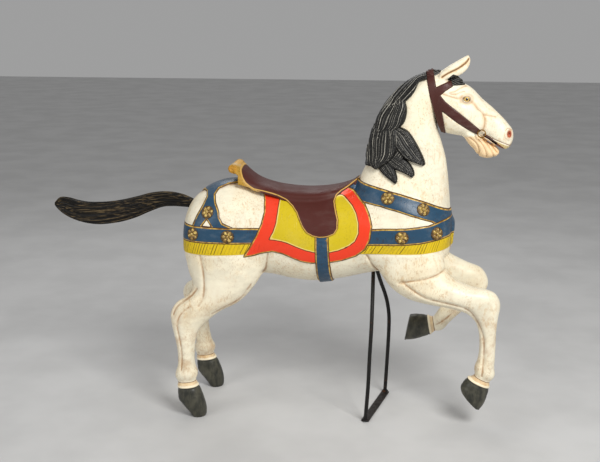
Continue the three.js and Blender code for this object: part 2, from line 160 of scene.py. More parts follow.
CHEST_BELT = [(290, 646), (360, 651), (430, 654), (500, 662), (545, 674), (640, 692), (640, 634),
              (540, 619), (480, 608), (420, 603), (290, 599)]
CHEST_FRINGE = [(290, 599), (420, 603), (480, 608), (540, 619), (640, 634), (640, 594), (540, 579),
                (475, 573), (397, 570), (290, 569)]
SHOULDER_STRAP = [
    (240, 792), (273, 786), (344, 773), (415, 756), (486, 734), (534, 713), (640, 668), (640, 600),
    (545, 650), (532, 660), (512, 674), (472, 687), (400, 709), (352, 720), (300, 727), (262, 736),
    (226, 764),
]
RUMP_STRAP = [
    (-400, 755), (-262, 728), (-244, 733), (-226, 742), (-212, 742), (-206, 730), (-216, 704),
    (-234, 671), (-246, 642), (-246, 632), (-100, 634), (-120, 642), (-146, 654), (-157, 672),
    (-160, 690), (-172, 714), (-179, 738), (-170, 754), (-142, 766), (-101, 770), (-96, 772),
    (-96, 900), (-400, 900),
]
SADDLE_LEATHER = [
    (-150, 900), (-140, 836), (-118, 832), (-106, 827), (-101, 811), (-93, 792), (-83, 776),
    (-70, 766), (-54, 755), (-12, 744), (23, 734), (47, 723), (71, 706), (86, 690), (97, 668),
    (109, 646), (122, 631), (142, 621), (165, 617), (190, 620), (212, 630), (223, 648), (223, 676),
    (214, 704), (207, 726), (212, 741), (224, 754), (245, 768), (266, 783), (280, 793), (280, 900),
]
CROWN_BACK = [
    (850, 612), (905, 580), (926, 545), (935, 532), (950, 527), (964, 520), (1019, 504),
    (1050, 494), (1118, 479), (1180, 474),
]
CROWN_FRONT = [
    (900, 552), (949, 542), (1012, 530), (1057, 520), (1081, 511), (1128, 501), (1180, 496),
]
CHEEK_STRAP = [
    (516, 1066), (541, 1038), (576, 1011), (611, 983), (651, 950), (640, 938), (612, 954),
    (577, 977), (530, 1012), (504, 1024),
]
BROW_BAND = [(505, 1078), (530, 1090), (556, 1101), (561, 1085), (540, 1072), (520, 1054)]
ROSETTES = [(-245, 614), (-129, 612), (-196, 686), (374, 746), (484, 712), (421, 627), (528, 637)]
STRAP_RAISE, BRIDLE_RAISE, FLAP_RAISE = 4.0, 3.5, 9.0
SHOULDER_HOLLOW, LEG_HOLLOW, THROAT_HOLLOW = 36, 22, 14  # radius where two forms meet
BODY_REACH = (-752, -169.2, 0), (753.8, 169.2, 1176)
FRONT_HALF, FRINGE_FOOT, THROAT = 130, 570, 880
HOOF_REACH = 85  # no part of a hoof is further than this from its middle
NOT_CUT = -50  # a limit this low takes no wood away
SCROLL = (-127, 816, 14, 64)
CANTLE_PANEL = [
    (-165, 900), (-165, 803), (-116, 803), (-107, 797), (-106, 768), (-95, 767), (-67, 759),
    (-38, 749), (-30, 749), (-30, 900),
]
BELT_WINDOW = [(-216, 641), (-198, 665), (-179, 641)]
EYE = (605, 1047, 10)


# ---------------------------------------------------------------- measuring in side view
def drawn_smooth(rows, steps):
    """The rows with more of them between, on a smooth curve through all."""
    rows = np.asarray(rows, float)
    last = len(rows) - 1
    t = np.linspace(0, last, last * steps + 1)
    i = np.clip(np.floor(t).astype(int), 0, last - 1)
    f = (t - i)[:, None]
    a, b, c, d = rows[np.maximum(i - 1, 0)], rows[i], rows[i + 1], rows[np.minimum(i + 2, last)]
    bend = 2 * a - 5 * b + 4 * c - d
    return 0.5 * (2 * b + (c - a) * f + bend * f**2 + (3 * b - a - 3 * c + d) * f**3)


def nearest_run(starts, ends, x, z):
    """Distance from the nearest of some straight runs."""
    best = np.full(np.shape(x), FAR_OFF)
    for (ax, az), (bx, bz) in zip(starts, ends):
        dx, dz = bx - ax, bz - az
        t = np.clip(((x - ax) * dx + (z - az) * dz) / max(dx * dx + dz * dz, 1e-9), 0, 1)
        best = np.minimum(best, (x - ax - t * dx) ** 2 + (z - az - t * dz) ** 2)
    return np.sqrt(best)


def within(outline, x, z):
    """Distance in from an outline, less than 0 outside it."""
    starts = np.asarray(outline, float)
    ends = np.roll(starts, -1, axis=0)
    odd = np.zeros(np.shape(x), bool)
    for (ax, az), (bx, bz) in zip(starts, ends):
        if bz != az:
            odd ^= ((z > az) != (z > bz)) & (x < ax + (z - az) * (bx - ax) / (bz - az))
    return np.where(odd, 1, -1) * nearest_run(starts, ends, x, z)


def from_line(line, x, z):
    """Distance from an open line."""
    points = drawn_smooth(line, 3)
    return nearest_run(points[:-1], points[1:], x, z)


def ease(value, low, high):
    t = np.clip((value - low) / (high - low), 0, 1)
    return t * t * (3 - 2 * t)


def sections_at(rows, x, z):
    """Which section of a form passes through each point of its side view.

    Gives the place across it (-1 to 1), its half length, its other columns, how far along the
    rows it lies, and how far past an end of the form the point is.
    """
    rows = drawn_smooth(rows, 4)
    extra = rows.shape[1] - 4
    best = np.full(x.shape, FAR_OFF)
    out = np.zeros((3 + extra,) + x.shape)
    lines = []
    for row in rows:
        xa, za, xb, zb = row[:4]
        size = max(math.hypot(xa - xb, za - zb), 1e-6)
        ux, uz = (xa - xb) / size, (za - zb) / size
        px, pz = x - (xa + xb) / 2, z - (za + zb) / 2
        lines.append((px * uz - pz * ux, px * ux + pz * uz, size / 2))
    for i in range(len(rows) - 1):
        (o0, a0, h0), (o1, a1, h1) = lines[i], lines[i + 1]
        gap = o0 - o1
        t = np.where(gap != 0, o0 / np.where(gap == 0, 1, gap), 0)
        half = h0 + (h1 - h0) * t
        place = (a0 + (a1 - a0) * t) / half
        better = (o0 * o1 <= 0) & (gap != 0) & (np.abs(place) < best)
        best[better] = np.abs(place[better])
        values = [place, half, (i + t) / 4.0] + [
            rows[i, 4 + k] + (rows[i + 1, 4 + k] - rows[i, 4 + k]) * t for k in range(extra)
        ]
        for k, value in enumerate(values):
            out[k][better] = value[better]
    past = np.zeros(x.shape)
    missed = best > 0.1 * FAR_OFF
    nearest = np.full(x.shape, FAR_OFF)
    for end, inner in ((0, 1), (len(rows) - 1, len(rows) - 2)):
        off, across, half = lines[end]
        middle = (rows[inner, :2] + rows[inner, 2:4]) / 2 - (rows[end, :2] + rows[end, 2:4]) / 2
        u = (rows[end, :2] - rows[end, 2:4]) / (2 * half)
        outward = -off * np.sign(middle[0] * u[1] - middle[1] * u[0])
        reach = np.hypot(outward, np.maximum(np.abs(across) - half, 0))
        pick = missed & (reach < nearest)
        nearest[pick] = reach[pick]
        past[pick] = np.abs(outward[pick])
        values = [across / half, np.full(x.shape, half), np.full(x.shape, end / 4.0)]
        values += [np.full(x.shape, rows[end, 4 + k]) for k in range(extra)]
        for k, value in enumerate(values):
            out[k][pick] = value[pick]
    return out, past


def middle_of(row):
    return (row[0] + row[2]) / 2, (row[1] + row[3]) / 2


def off_row(row, x, z):
    """Distance to one side of the line that a section lies on."""
    xa, za, xb, zb = row[:4]
    return ((x - xa) * (za - zb) - (z - za) * (xa - xb)) / math.hypot(xa - xb, za - zb)


def bump(off, width):
    """1 where off is 0, falling away on both sides over about that width."""
    return np.exp(-((off / width) ** 2))


def rounded(inside, reach):
    """0 at an edge to 1 at that reach inside it, as a quarter round."""
    return np.sqrt(np.clip(1 - (1 - np.clip(inside / reach, 0, 1)) ** 2, 0, 1))


# ---------------------------------------------------------------- carving in a block of wood
def through(side):
    """Values over the side view, the same right through the block."""
    return side[:, None, :].astype(np.float32)


def joined(have, added, soft):
    """Two depths joined, with a hollow of about that radius where they meet."""
    h = np.clip(0.5 + 0.5 * (have - added) / soft, 0, 1)
    return have + (added - have) * h - soft * h * (1 - h)


class Block:
    """A block of wood on a fine grid. depth is the distance out of the wood at each point."""

    def __init__(self, low, high, step):
        self.step = float(step)
        self.low = np.asarray(low, float)
        self.axes = [np.arange(a, b + step, step) for a, b in zip(low, high)]
        self.depth = np.full([len(a) for a in self.axes], 80.0, np.float32)
        self.side_x, self.side_z = np.meshgrid(self.axes[0], self.axes[2], indexing="ij")

    def window(self, rows, margin):
        """The part of the block that a form reaches, with a margin around it."""
        r = np.asarray(rows, float)
        x, z = r[:, [0, 2]], r[:, [1, 3]]
        low = x.min(), (r[:, 4] - r[:, 5]).min(), z.min()
        high = x.max(), (r[:, 4] + r[:, 5]).max(), z.max()
        pick = []
        for start, end, origin, axis in zip(low, high, self.low, self.axes):
            a = (start - margin - origin) // self.step
            b = (end + margin - origin) // self.step + 2
            pick.append(slice(*(int(np.clip(n, 0, len(axis))) for n in (a, b))))
        return tuple(pick)

    def form(self, rows, exponent=2.2, margin=48, sole=False):
        """Distance from a lofted form, with the part of the block that it was measured in."""
        pick = self.window(rows, margin)
        x, z = self.side_x[pick[0], pick[2]], self.side_z[pick[0], pick[2]]
        if x.size == 0 or pick[1].start >= pick[1].stop:
            return pick, None
        (place, half, _, middle, width), past = sections_at(rows, x, z)
        y = self.axes[1][pick[1]]
        u = through(np.abs(place)) + 1e-4
        v = (y[None, :, None] - middle[:, None, :]) / width[:, None, :]
        v = np.abs(v).astype(np.float32) + 1e-4
        p = exponent
        q = (u**p + v**p) ** (1 / p)
        slope = q ** (1 - p) * np.sqrt(
            (u ** (p - 1) / through(half)) ** 2 + (v ** (p - 1) / through(width)) ** 2
        )
        d = (q - 1) / np.maximum(slope, 1e-4)
        beyond = through(past)
        d = np.where(beyond > 0, np.hypot(np.maximum(d, 0), beyond), d)
        if sole:
            back = off_row(rows[-1], *middle_of(rows[-2]))
            d = np.maximum(d, (-np.sign(back) * off_row(rows[-1], x, z))[:, None, :])
        return pick, d.astype(np.float32)

    def add(self, rows, soft=0.0, **how):
        """Joins a form to the wood, with a hollow of about that radius where they meet."""
        pick, d = self.form(rows, **how)
        if d is None:
            return
        have = self.depth[pick]
        self.depth[pick] = joined(have, d, soft) if soft else np.minimum(have, d)

    def raise_by(self, near, far, turn=10):
        """Adds relief that depends on the side view alone, right and left side apart."""
        t = np.clip((self.axes[1] + turn) / (2 * turn), 0, 1).astype(np.float32)[None, :, None]
        self.depth -= through(near) * (1 - t) + through(far) * t

    def cut(self, beyond):
        """Cuts away what lies where beyond is more than 0."""
        self.depth = np.maximum(self.depth, beyond)

    def limit(self, plane):
        """The same cut, given over the side view and made right through."""
        self.cut(through(plane))

    def ball(self, centre, radii):
        x, y, z = (((a - c) / r) for a, c, r in zip(self.axes, centre, radii))
        q = np.sqrt(x[:, None, None] ** 2 + y[None, :, None] ** 2 + z[None, None, :] ** 2)
        return ((q - 1) * min(radii)).astype(np.float32)

    def sample(self, points):
        """Depth at any points, between the grid's own."""
        f = (points - self.low) / self.step
        top = np.array(self.depth.shape) - 1.001
        f = np.clip(f, 0, top)
        i = f.astype(int)
        f = f - i
        total = 0
        for a in (0, 1):
            for b in (0, 1):
                for c in (0, 1):
                    w = (
                        (f[:, 0] if a else 1 - f[:, 0])
                        * (f[:, 1] if b else 1 - f[:, 1])
                        * (f[:, 2] if c else 1 - f[:, 2])
                    )
                    total = total + w * self.depth[i[:, 0] + a, i[:, 1] + b, i[:, 2] + c]
        return total

    def slope(self, points):
        h = self.step * 0.6
        return np.stack([
            (self.sample(points + h * e) - self.sample(points - h * e)) / (2 * h) for e in np.eye(3)
        ], 1)

    def skin(self):
        """Points and four-sided faces of the carved surface."""
        d = self.depth
        wood = d < 0
        count = np.zeros([n - 1 for n in d.shape], np.int8)
        corners = [(a, b, c) for a in (0, 1) for b in (0, 1) for c in (0, 1)]
        for a, b, c in corners:
            count += wood[a : a + count.shape[0], b : b + count.shape[1], c : c + count.shape[2]]
        mixed = (count > 0) & (count < 8)
        cell = np.nonzero(mixed)
        number = np.full(mixed.shape, -1, np.int32)
        number[mixed] = np.arange(len(cell[0]))
        ijk = np.stack(cell, 1)
        total = np.zeros((len(ijk), 3))
        hits = np.zeros(len(ijk))
        for axis in range(3):
            for start in [c for c in corners if c[axis] == 0]:
                end = list(start)
                end[axis] = 1
                d0 = d[tuple((ijk + start).T)]
                d1 = d[tuple((ijk + end).T)]
                crossed = (d0 < 0) != (d1 < 0)
                t = np.where(crossed, d0 / np.where(crossed, d0 - d1, 1), 0)
                at = np.array(start, float)[None, :] + t[:, None] * np.eye(3)[axis]
                total += at * crossed[:, None]
                hits += crossed
        points = self.low + self.step * (ijk + total / hits[:, None])
        for _ in range(2):
            g = self.slope(points)
            move = -self.sample(points)[:, None] * g / np.maximum((g**2).sum(1), 0.05)[:, None]
            size = np.linalg.norm(move, axis=1, keepdims=True)
            points = points + move * np.minimum(1, 0.4 * self.step / np.maximum(size, 1e-9))
        faces = []
        for axis in range(3):
            b, c = (axis + 1) % 3, (axis + 2) % 3
            low_side = np.take(wood, range(0, d.shape[axis] - 1), axis)
            high_side = np.take(wood, range(1, d.shape[axis]), axis)
            edge = low_side != high_side
            inner = [slice(None)] * 3
            inner[b], inner[c] = slice(1, -1), slice(1, -1)
            at = np.stack(np.nonzero(edge[tuple(inner)]), 1)
            at[:, b] += 1
            at[:, c] += 1
            outward = low_side[tuple(at.T)]
            ring = []
            for sb, sc in ((0, 0), (-1, 0), (-1, -1), (0, -1)):
                p = at.copy()
                p[:, b] += sb
                p[:, c] += sc
                ring.append(number[tuple(p.T)])
            ring = np.stack(ring, 1)
            faces.append(np.where(outward[:, None], ring, ring[:, ::-1]))
        return points, np.concatenate(faces)


def mesh_of(name, points, faces):
    """A mesh from points in millimetres and faces with the same number of corners each."""
    mesh = bpy.data.meshes.new(name)
    faces = np.asarray(faces, np.int32)
    mesh.vertices.add(len(points))
    mesh.vertices.foreach_set("co", (np.asarray(points) * MM).astype(np.float32).ravel())
    mesh.loops.add(faces.size)
    mesh.loops.foreach_set("vertex_index", faces.ravel())
    mesh.polygons.add(len(faces))
    starts = np.arange(0, faces.size, faces.shape[1], dtype=np.int32)
    mesh.polygons.foreach_set("loop_start", starts)
    mesh.update(calc_edges=True)
    mesh.validate()
    mesh.shade_smooth()
    return mesh


def piece_of(name, mesh, finish=None):
    piece = bpy.data.objects.new(name, mesh)
    bpy.context.scene.collection.objects.link(piece)
    if finish is not None:
        mesh.materials.clear()
        mesh.materials.append(finish)
    return piece


def thinned(mesh, most):
    """The mesh with no more than that many triangles, spent where it bends most."""
    triangles = len(mesh.polygons) * 2
    if triangles <= most:
        return mesh
    helper = piece_of("thinning", mesh)
    modifier = helper.modifiers.new("thin", "DECIMATE")
    modifier.ratio = most / triangles
    graph = bpy.context.evaluated_depsgraph_get()
    result = bpy.data.meshes.new_from_object(helper.evaluated_get(graph))
    bpy.data.objects.remove(helper)
    result.shade_smooth()
    return result


def points_of(mesh):
    co = np.zeros(len(mesh.vertices) * 3, np.float32)
    mesh.vertices.foreach_get("co", co)
    return co.reshape(-1, 3).astype(float) / MM


def carved(name, wood, most, low=None, high=None):
    """The skin of a block as a mesh with no more than that many triangles, and its points."""
    points, faces = wood.skin()
    if low is not None:
        points = np.clip(points, low, high)
    mesh = thinned(mesh_of(name, points, faces), most)
    return mesh, points_of(mesh)


def note(mesh, name, values):
    """Keeps a number for each point of the mesh, for its finish to read."""
    attribute = mesh.attributes.new(name, "FLOAT", "POINT")
    attribute.data.foreach_set("value", np.asarray(values, np.float32))


def notes(mesh, **values):
    for name, numbers in values.items():
        note(mesh, name, numbers)


def note_hollows_and_edges(mesh, block, points):
    """Notes hollows, where the dark wash and painted shade go, and edges, where the paint rubs
    through.
    """
    g = block.slope(points)
    size = np.maximum(np.linalg.norm(g, axis=1), 0.2)
    n = g / size[:, None]
    # how deep in a hollow each point lies, for the glaze and painted shade there
    deep = 1 - block.sample(points + 7 * n) / (7 * size)
    fine = 1 - block.sample(points + 3 * n) / (3 * size)
    note(mesh, "hollow", np.clip(0.7 * deep + 0.6 * fine, 0, 1))
    note(mesh, "edge", np.clip(1 + block.sample(points - 3 * n) / (3 * size), 0, 1))


# ---------------------------------------------------------------- the body
THIGH_GROOVE = [(-222, 545), (-216, 512), (-211, 480), (-210, 440), (-214, 405), (-228, 380)]
FLANK_FOLD = [(-2, 562), (-8, 535), (-16, 500), (-26, 486)]
ELBOW_FOLD = [(312, 566), (322, 545), (333, 520), (345, 505)]
FOREARM_FOLD = [(415, 478), (450, 487), (490, 495), (530, 508), (565, 526)]
FORELEG_GROOVE = [
    (425, 484), (455, 462), (500, 436), (545, 424), (595, 412), (632, 398), (658, 366), (680, 320),
    (686, 280), (686, 225), (683, 180),
]
FAR_CANNON_GROOVE = [(640, 392), (606, 344), (570, 305), (535, 280)]
HOCK_GROOVE = [(-262, 372), (-290, 345), (-300, 310), (-292, 260), (-286, 210), (-288, 160)]
HOCK_TOP = [(-236, 432), (-254, 408), (-280, 388), (-304, 368), (-314, 345)]
STIFLE_GROOVE = [(-60, 452), (-95, 405), (-140, 378), (-186, 352)]
SWELLS = [  # middle x, z, reach along x, z, height of the muscle
    (-150, 560, 80, 90, 4), (440, 585, 85, 80, 5), (505, 448, 70, 26, 3), (-130, 430, 60, 40, 3),
    (430, 800, 60, 130, -3),
]


def mirrored(rows):
    return [row[:4] + (-row[4],) + row[5:] for row in rows]


FAR_HIND_LEG = [
    (xa + back, za, xb + back, zb, y, half)
    for (xa, za, xb, zb, y, half), back in zip(HIND_LEG, HOCK_BACK)
]
HOOVES = [(mirrored(HIND_HOOF), -1), (HIND_HOOF, 1), (NEAR_FORE_HOOF, -1), (FAR_FORE_HOOF, 1)]


def beyond_collar(hoof, x, z):
    """Distance past the top of a hoof, towards its sole, and limited to that hoof."""
    (ax, az), (bx, bz) = middle_of(hoof[0]), middle_of(hoof[-1])
    off = off_row(hoof[0], x, z) * np.sign(off_row(hoof[0], bx, bz))
    return np.minimum(off, HOOF_REACH - np.hypot(x - (ax + bx) / 2, z - (az + bz) / 2))


def drawn(lines, x, z):
    """How much of a carved line runs through a point, 0 to 1."""
    return np.max([bump(from_line(line, x, z), width * 0.62) for line, _, width in lines], axis=0)


def dents(lines, x, z):
    """Height of some carved lines, less than 0 as they are cut in."""
    return sum(-depth * bump(from_line(line, x, z), width) for line, depth, width in lines)


def straps_at(x, z):
    belts = np.maximum(within(HIP_BELT, x, z), within(CHEST_BELT, x, z))
    rump = np.minimum(within(RUMP_STRAP, x, z), -within(BELT_WINDOW, x, z))
    straps = np.maximum(within(SHOULDER_STRAP, x, z), rump)
    fringe = np.maximum(within(HIP_FRINGE, x, z), within(CHEST_FRINGE, x, z))
    return belts, straps, fringe


NEAR_CARVING = [
    (THIGH_GROOVE, 3.5, 7), (FLANK_FOLD, 5, 6), (ELBOW_FOLD, 6, 5), (FOREARM_FOLD, 5, 4.5),
    (FORELEG_GROOVE, 4.5, 5.5), (HOCK_GROOVE, 4, 5), (HOCK_TOP, 4, 6), (STIFLE_GROOVE, 1.5, 6),
]
FAR_CARVING = [
    (THIGH_GROOVE, 3.5, 7), (FLANK_FOLD, 5, 6), (ELBOW_FOLD, 6, 5), (FOREARM_FOLD, 4, 4.5),
    (FAR_CANNON_GROOVE, 3, 5), ([(a - 22, b) for a, b in HOCK_GROOVE], 4, 5), (HOCK_TOP, 4, 6),
    (STIFLE_GROOVE, 1.5, 6),
]


def body_relief(x, z):
    belts, straps, fringe = straps_at(x, z)
    blanket, girth = within(BLANKET, x, z), within(GIRTH, x, z)
    raised = STRAP_RAISE * ease(np.maximum(belts, straps), -1.5, 1.5)
    raised = np.maximum(raised, (STRAP_RAISE - 1) * ease(fringe, -2, 2))
    raised = np.maximum(raised, (STRAP_RAISE + 1) * ease(blanket, -1.5, 1.5))
    raised = np.maximum(raised, (STRAP_RAISE + 2.5) * ease(girth, -1.5, 1.5) * (z < 640))
    bare = 1 - ease(np.maximum(blanket, np.maximum(belts, np.maximum(straps, fringe))), -8, 2)
    swell = sum(
        h * np.exp(-(((x - cx) / rx) ** 2) - (((z - cz) / rz) ** 2)) for cx, cz, rx, rz, h in SWELLS
    )
    both = raised + swell * bare
    near = both + bare * dents(NEAR_CARVING, x, z)
    far = both + bare * dents(FAR_CARVING, x, z)
    for hoof, side in HOOVES:
        off = beyond_collar(hoof, x, z)
        ridge = 3.4 * bump(off + 3, 4.5) - 5.2 * bump(off + 19, 10)
        ridge += 3.4 * bump(off + 46, 14) - 1.4 * bump(off - 4.5, 1.8)
        ridge -= 0.8 * bump(off - 26, 2.5)
        ridge = ridge * ease(off, -74, -60)
        if side < 0:
            near = near + ridge
        else:
            far = far + ridge
    return near, far


def past_crown(x, z, curve):
    """Distance ahead of an edge of the crown strap."""
    return x - np.interp(z, [p[0] for p in curve], [p[1] for p in curve])


def carve_body(step):
    wood = Block((-350, -186, -9), (748, 186, 1150), step)
    wood.add(TORSO)
    wood.add(NECK, soft=SHOULDER_HOLLOW)
    under_seat = [(x, top - 8, x, low, 0, half - 5) for x, top, _, low, _, half in SEAT[8:]]
    wood.add(under_seat, soft=10, exponent=2.8)
    for leg in (NEAR_FORELEG, FAR_FORELEG, mirrored(HIND_LEG), FAR_HIND_LEG):
        wood.add(leg, soft=LEG_HOLLOW)
    for hoof, _ in HOOVES:
        wood.add(hoof, soft=3, sole=hoof[-1][1] > 0, exponent=2.1)
    near, far = body_relief(wood.side_x, wood.side_z)
    wood.raise_by(near, far)
    wood.limit(-wood.side_z)
    ahead = past_crown(wood.side_x, wood.side_z, CROWN_BACK)
    wood.depth += through(np.where(wood.side_z > THROAT, 0.35 * np.maximum(ahead, 0), 0))
    wood.limit(np.where(wood.side_z > THROAT, ahead - 12, NOT_CUT))
    # the pocket for the tail
    pick, tail = wood.form(TAIL[:4], margin=12)
    wood.depth[pick] = np.maximum(wood.depth[pick], -(tail - 0.8))
    mesh, points = carved("horse_body", wood, 190000, *BODY_REACH)
    x, y, z = points.T
    belts, straps, fringe = straps_at(x, z)
    slant = 0.45 * (z - FRINGE_FOOT) * np.sign(x - FRONT_HALF) * np.minimum(np.abs(y) / 70, 1)
    hoof = np.full(len(x), -90.0)
    for rows, side in HOOVES:
        hoof = np.maximum(hoof, np.where(y * side > 0, beyond_collar(rows, x, z), -90))
    side = np.where(y < 0, drawn(NEAR_CARVING, x, z), drawn(FAR_CARVING, x, z))
    notes(
        mesh, belt=belts, strap=straps, fringe=fringe,
        tassel=np.where(x > FRONT_HALF, x - np.abs(y), -x - np.abs(y)) - slant,
        blanket=within(BLANKET, x, z), field=within(FIELD, x, z),
        girth=np.where(z < 655, within(GIRTH, x, z), -20), hoof=hoof,
        groove=side * (np.abs(y) > 30),
    )
    note_hollows_and_edges(mesh, wood, points)
    set_rosettes(wood)
    return mesh


PLACES = []


def set_rosettes(wood):
    """Finds the surface of the belts under each rosette, and the way that it faces."""
    across = np.arange(0, 184, 0.5)
    for x, z in ROSETTES:
        for side in (-1, 1):
            line = np.stack([np.full(len(across), x), side * across, np.full(len(across), z)], 1)
            y = across[np.nonzero(wood.sample(line) < 0)[0].max()]
            here = np.array([(x, side * y, z)], float)
            around = [here + 9 * np.array([(a, 0, b)]) for a in (-1, 0, 1) for b in (-1, 0, 1)]
            n = wood.slope(np.concatenate(around)).mean(0)
            n /= np.linalg.norm(n)
            PLACES.append((here[0] + 0.6 * n, n))


# ---------------------------------------------------------------- the head
JAW_FOLDS = [
    [(620, 926), (638, 912), (649, 891), (649, 872)],
    [(646, 922), (660, 905), (670, 885), (673, 868)],
    [(662, 919), (680, 900), (691, 880), (695, 866)],
    [(676, 913), (692, 898), (706, 882)],
]
FACE_LINES = [
    ([(590, 1054), (578, 1049), (554, 1055), (533, 1061)], 2.6, 3.5),
    ([(598, 1071), (584, 1068), (571, 1062), (556, 1062)], 1.8, 3),
    ([(620, 1038), (630, 1031), (640, 1017), (653, 1006), (662, 990), (663, 970),
     (658, 950)], 2.8, 3.8),
    ([(662, 998), (678, 996), (697, 992)], 1.8, 4),
    ([(604, 1086), (588, 1081), (571, 1072), (552, 1064)], 1.4, 3),
    ([(727, 951), (735, 958), (747, 951)], 1.6, 2.5),
    ([(495, 990), (507, 972), (517, 950)], 3, 6),
    ([(688, 927), (702, 921), (731, 910), (747, 905)], 1.6, 2.2),
]
EAR_OPENING = [(528, 1112), (546, 1124), (576, 1139), (598, 1155), (608, 1168)]
LIP_CORNER = [(660, 940, 662, 925, 0, 31), (684, 926, 681, 911, 0, 26), (703, 911, 699, 900, 0, 20)]
POLL_ROLL = [
    (466, 1117, 474, 1092, 0, 14), (489, 1130, 492, 1098, 0, 19), (508, 1133, 510, 1102, 0, 18),
    (526, 1131, 530, 1104, 0, 13), (541, 1124, 543, 1106, 0, 6),
]
FORELOCK_SIDE = [
    (546, 1108), (562, 1122), (604, 1108), (600, 1088), (580, 1087), (563, 1086), (548, 1096),
]
POLL_HAIR = [
    (464, 1150), (466, 1110), (490, 1114), (510, 1116), (520, 1121), (526, 1129), (526, 1150),
]
JAW_SIDE = [
    (600, 930), (640, 935), (668, 926), (694, 912), (709, 901), (730, 880), (700, 850), (640, 850),
]
TEETH = [(690, 921), (716, 910), (747, 899), (744, 892), (733, 890), (716, 896), (700, 906)]
LIP_EDGE = [(688, 926), (702, 920), (731, 909), (749, 902)]
FOLD_CUTS = [(line, 3.5, 3.4) for line in JAW_FOLDS]
TOOTH_WIDTH = 6.5
MOUTH = [(664, 932), (678, 924), (694, 913), (708, 903), (724, 892)]
CHEEK = (585, 985, 52, 48)


def head_strand(x, z):
    """Strands of the forelock and poll, ridge to ridge about 5.5 mm."""
    return np.cos((x * 0.3 + z * 0.95 + 1.6 * np.sin(x / 9)) * 2 * math.pi / 5.5)


def head_hair(x, z):
    """Distance in from the edge of the forelock and the poll."""
    return np.maximum(within(FORELOCK_SIDE, x, z), within(POLL_HAIR, x, z))


def carve_head(step):
    wood = Block((466, -80, 848), (766, 80, 1186), step)
    wood.add(NECK)
    wood.add(HEAD, soft=THROAT_HOLLOW)
    wood.add(JAW, soft=6, exponent=2.0)
    small = [(LIP_CORNER, 3), (POLL_ROLL, 2), (EAR, 5), (mirrored(EAR), 5), (FORELOCK, 2)]
    for form, soft in small:
        wood.add(form, soft=soft)
    x, z = wood.side_x, wood.side_z
    bridle = bridle_at(x, z)
    relief = BRIDLE_RAISE * ease(bridle, -1, 1)
    bare = 1 - ease(bridle, -4, 1)
    cheek = np.hypot((x - CHEEK[0]) / CHEEK[2], (z - CHEEK[1]) / CHEEK[3])
    relief += bare * 3.5 * (1 - ease(cheek, 0.75, 1.08))
    relief += bare * dents(FACE_LINES, x, z)
    relief += dents(FOLD_CUTS, x, z)
    relief += dents([(EAR_OPENING, 4.5, 3.2)], x, z)
    ex, ez = x - EYE[0], z - EYE[1]
    rim = np.hypot(ex / 1.25, (ez + 0.12 * ex) * 1.1)
    brow = 2.2 * np.exp(-(((ex + 2) / 17) ** 2) - ((ez - 15) / 5) ** 2)
    relief += 3.6 * bump(rim - 9, 3.4) + brow
    nose = np.hypot((x - 739) / 8.5, (z - 941) / 12.5)
    relief += 3.0 * bump(nose - 1.25, 0.35)
    relief += 2.2 * bump(from_line([(690, 922), (715, 910), (742, 903)], x, z), 5)
    relief += 1.2 * head_strand(x, z) * ease(head_hair(x, z), 0, 4)
    wood.raise_by(relief, relief)
    for side in (-1, 1):
        hollow = wood.ball((741, side * 37, 940), (8, 15, 11.5))
        wood.cut(-hollow)
        opening = np.hypot(ex / 11.2, (ez + 0.1 * ex) / 7.6) - 1
        outer = (wood.axes[1] * side > 36)[None, :, None]
        wood.cut(np.where(outer, -8 * opening[:, None, :], NOT_CUT).astype(np.float32))
    gap = 1.2 + 2.6 * ease(x, 668, 715)
    slot = (gap - from_line(MOUTH, x, z))[:, None, :]
    inner = (11 - np.abs(wood.axes[1]))[None, :, None]
    wood.cut(np.where(inner < 0, slot, np.minimum(slot, -inner)).astype(np.float32))
    wood.limit(np.maximum(-past_crown(x, z, CROWN_BACK), -60))
    mesh, points = carved("horse_head", wood, 150000)
    x, y, z = points.T
    from_mouth = from_line(MOUTH, x, z)
    wide = [(line, depth, width * 3.2) for line, depth, width in FACE_LINES[:6]]
    off_ridge = np.abs(y) > 14
    notes(
        mesh, bridle=bridle_at(x, z), hair=head_hair(x, z), strand=0.75 * head_strand(x, z),
        nostril=1 - np.hypot((x - 740) / 7.5, (z - 940) / 11.5),
        mouth=np.maximum(5 - from_mouth, np.where(np.abs(y) < 14, 8 - from_mouth, -9)),
        jaw=within(JAW_SIDE, x, z), teeth=within(TEETH, x, z),
        gaps=np.cos((x - 690) * 2 * math.pi / TOOTH_WIDTH), ear=-from_line(EAR_OPENING, x, z),
        lip=drawn([(LIP_EDGE, 1, 2.4)], x, z) * (np.abs(y) > 8),
        groove=drawn(FACE_LINES + FOLD_CUTS, x, z) * off_ridge, shade=drawn(wide, x, z) * off_ridge,
        lid=20 - np.hypot((x - EYE[0]) / 1.3, z - EYE[1]),
    )
    note_hollows_and_edges(mesh, wood, points)
    return mesh


def bridle_at(x, z):
    cord = 2.6 - from_line([(664, 936), (681, 925), (702, 909)], x, z)
    crown = np.minimum(past_crown(x, z, CROWN_BACK), -past_crown(x, z, CROWN_FRONT))
    straps = np.maximum(within(CHEEK_STRAP, x, z), np.maximum(within(BROW_BAND, x, z), cord))
    return np.maximum(crown, straps)


